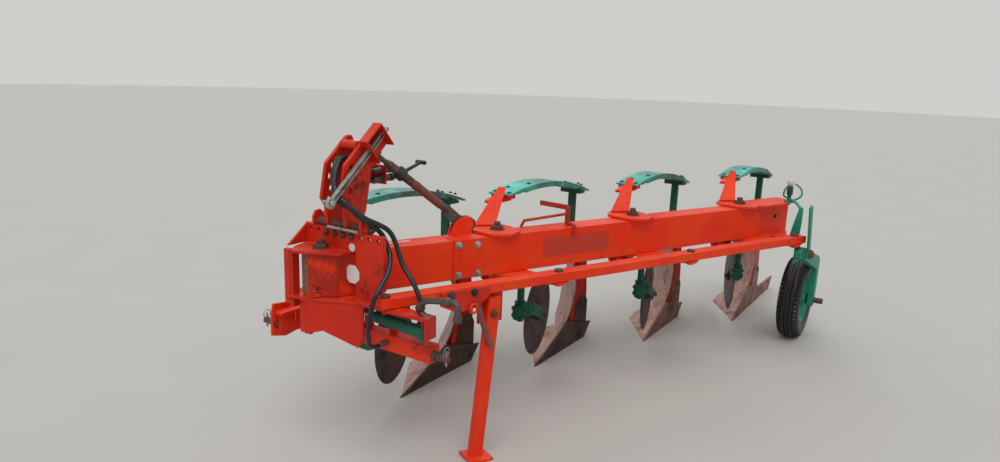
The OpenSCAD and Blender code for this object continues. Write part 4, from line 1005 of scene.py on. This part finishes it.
# rods follow smoothed paths; knob, sleeve, the thread's ridges and the axle's end are turned profiles
def makeCrank(setup):
    screw = place(*setup["screw"])
    parts = [tube(smoothPath([place(*p) for p in rod], 6), 0.0055, 12) for rod in setup["rods"]]
    parts.append(tube([place(*p) for p in setup["brace"]], 0.008, 12))
    parts.append(prism(setup["plate"], place(*setup["plateAt"]), (0, 1, 0), upward, -setup["plateThick"]))
    makePiece("crank_rods", joinParts(parts), "armPaint", "unit_4", bevel=1)
    makePiece("crank_knob", lathe(setup["knob"], screw, upward, 28), "whiteKnob", "unit_4")
    parts = [lathe([(11.1, z), (12.4, z + 1.5), (11.1, z + 3)], screw, upward, 20) for z in range(*setup["thread"])]
    parts.append(lathe(setup["sleeve"], screw, upward, 20))
    makePiece("screw_thread", joinParts(parts), "darkSteel", "unit_4")
    parts = [boltPart(place(*at), upward, 20, stub=0.1) for at in setup["floorBolts"]]
    parts.append(boltPart(beamPlace(*setup["boxBolt"]), across, 11, stub=0.1))
    makePiece("end_box_bolts", joinParts(parts), "darkSteel", "unit_4")
    parts = [boltPart(place(*setup["armBolt"]), (0, 1, 0), 26, stub=0.2),
             lathe(setup["axle"], place(*setup["axleAt"]), (0, 1, 0), 24)]
    makePiece("arm_bolts", joinParts(parts), "rustyBolt", "wheel_arm")


makeCrank(crankSet)
print("details made")

# studio: a pale floor with a slight drift in its tone, a pale world and two soft lamps
studio = {"floor": "#b9b6b0", "floorLight": "#c4c1bb", "drift": 600, "radius": 40, "world": "#d9dde0",
          "worldStrength": 0.75, "background": "#cfcfcc"}


# a round floor of one ring of points round the middle
def makeFloor(setup):
    angle = np.linspace(0, 2 * math.pi, 96, endpoint=False)
    ring = np.stack([np.cos(angle), np.sin(angle), 0 * angle], 1) * setup["radius"]
    mesh = bpy.data.meshes.new("floor")
    mesh.from_pydata(ring.tolist(), [], [list(range(96))])
    floor = bpy.data.objects.new("floor", mesh)
    bpy.context.scene.collection.objects.link(floor)
    material, tree, shader, coords = startMaterial("floor")
    soft = blobs(tree, coords, setup["drift"], 4, cut=(0.3, 0.7), top=0.25)
    base = layOver(tree, setup["floor"], setup["floorLight"], soft)
    tree.links.new(base.outputs[2], shader.inputs["Base Color"])
    shader.inputs["Roughness"].default_value = 0.9
    mesh.materials.append(material)
    floor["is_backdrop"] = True


# the world: soft sky light, plain pale to the camera
def makeWorld(setup):
    world = bpy.data.worlds.new("world")
    bpy.context.scene.world = world
    world.use_nodes = True
    tree = world.node_tree
    tree.nodes.clear()
    sky = addNode(tree, "Background", {"Color": linear(setup["world"]), "Strength": setup["worldStrength"]})
    plain = addNode(tree, "Background", {"Color": linear(setup["background"]), "Strength": 1.0})
    ray = addNode(tree, "LightPath")
    mix = addNode(tree, "MixShader", links=[(0, ray, "Is Camera Ray"), (1, sky), (2, plain)])
    addNode(tree, "OutputWorld", links=[("Surface", mix)])


lamps = [
    {"kind": "SUN", "from": (2.5, 1.2, 4.5), "power": 1.5, "angle": 50},
    {"kind": "SUN", "from": (-3, -3, 3.5), "power": 0.5, "angle": 60},
]


# a lamp looks from its place towards the plough's middle
def makeLamp(index, setup):
    data = bpy.data.lights.new("lamp", setup["kind"])
    data.energy = setup["power"]
    data.angle = math.radians(setup["angle"])
    lamp = bpy.data.objects.new("lamp" + str(index), data)
    bpy.context.scene.collection.objects.link(lamp)
    lamp.location = setup["from"]
    lamp.rotation_euler = (-Vector(setup["from"])).to_track_quat("-Z", "Y").to_euler()


makeFloor(studio)
makeWorld(studio)
for index, setup in enumerate(lamps):
    makeLamp(index, setup)
bpy.context.scene.view_settings.view_transform = "Standard"
print("studio ready")

sizes = [[list(map(float, corner)) for corner in box] for box in (cadBounds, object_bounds())]
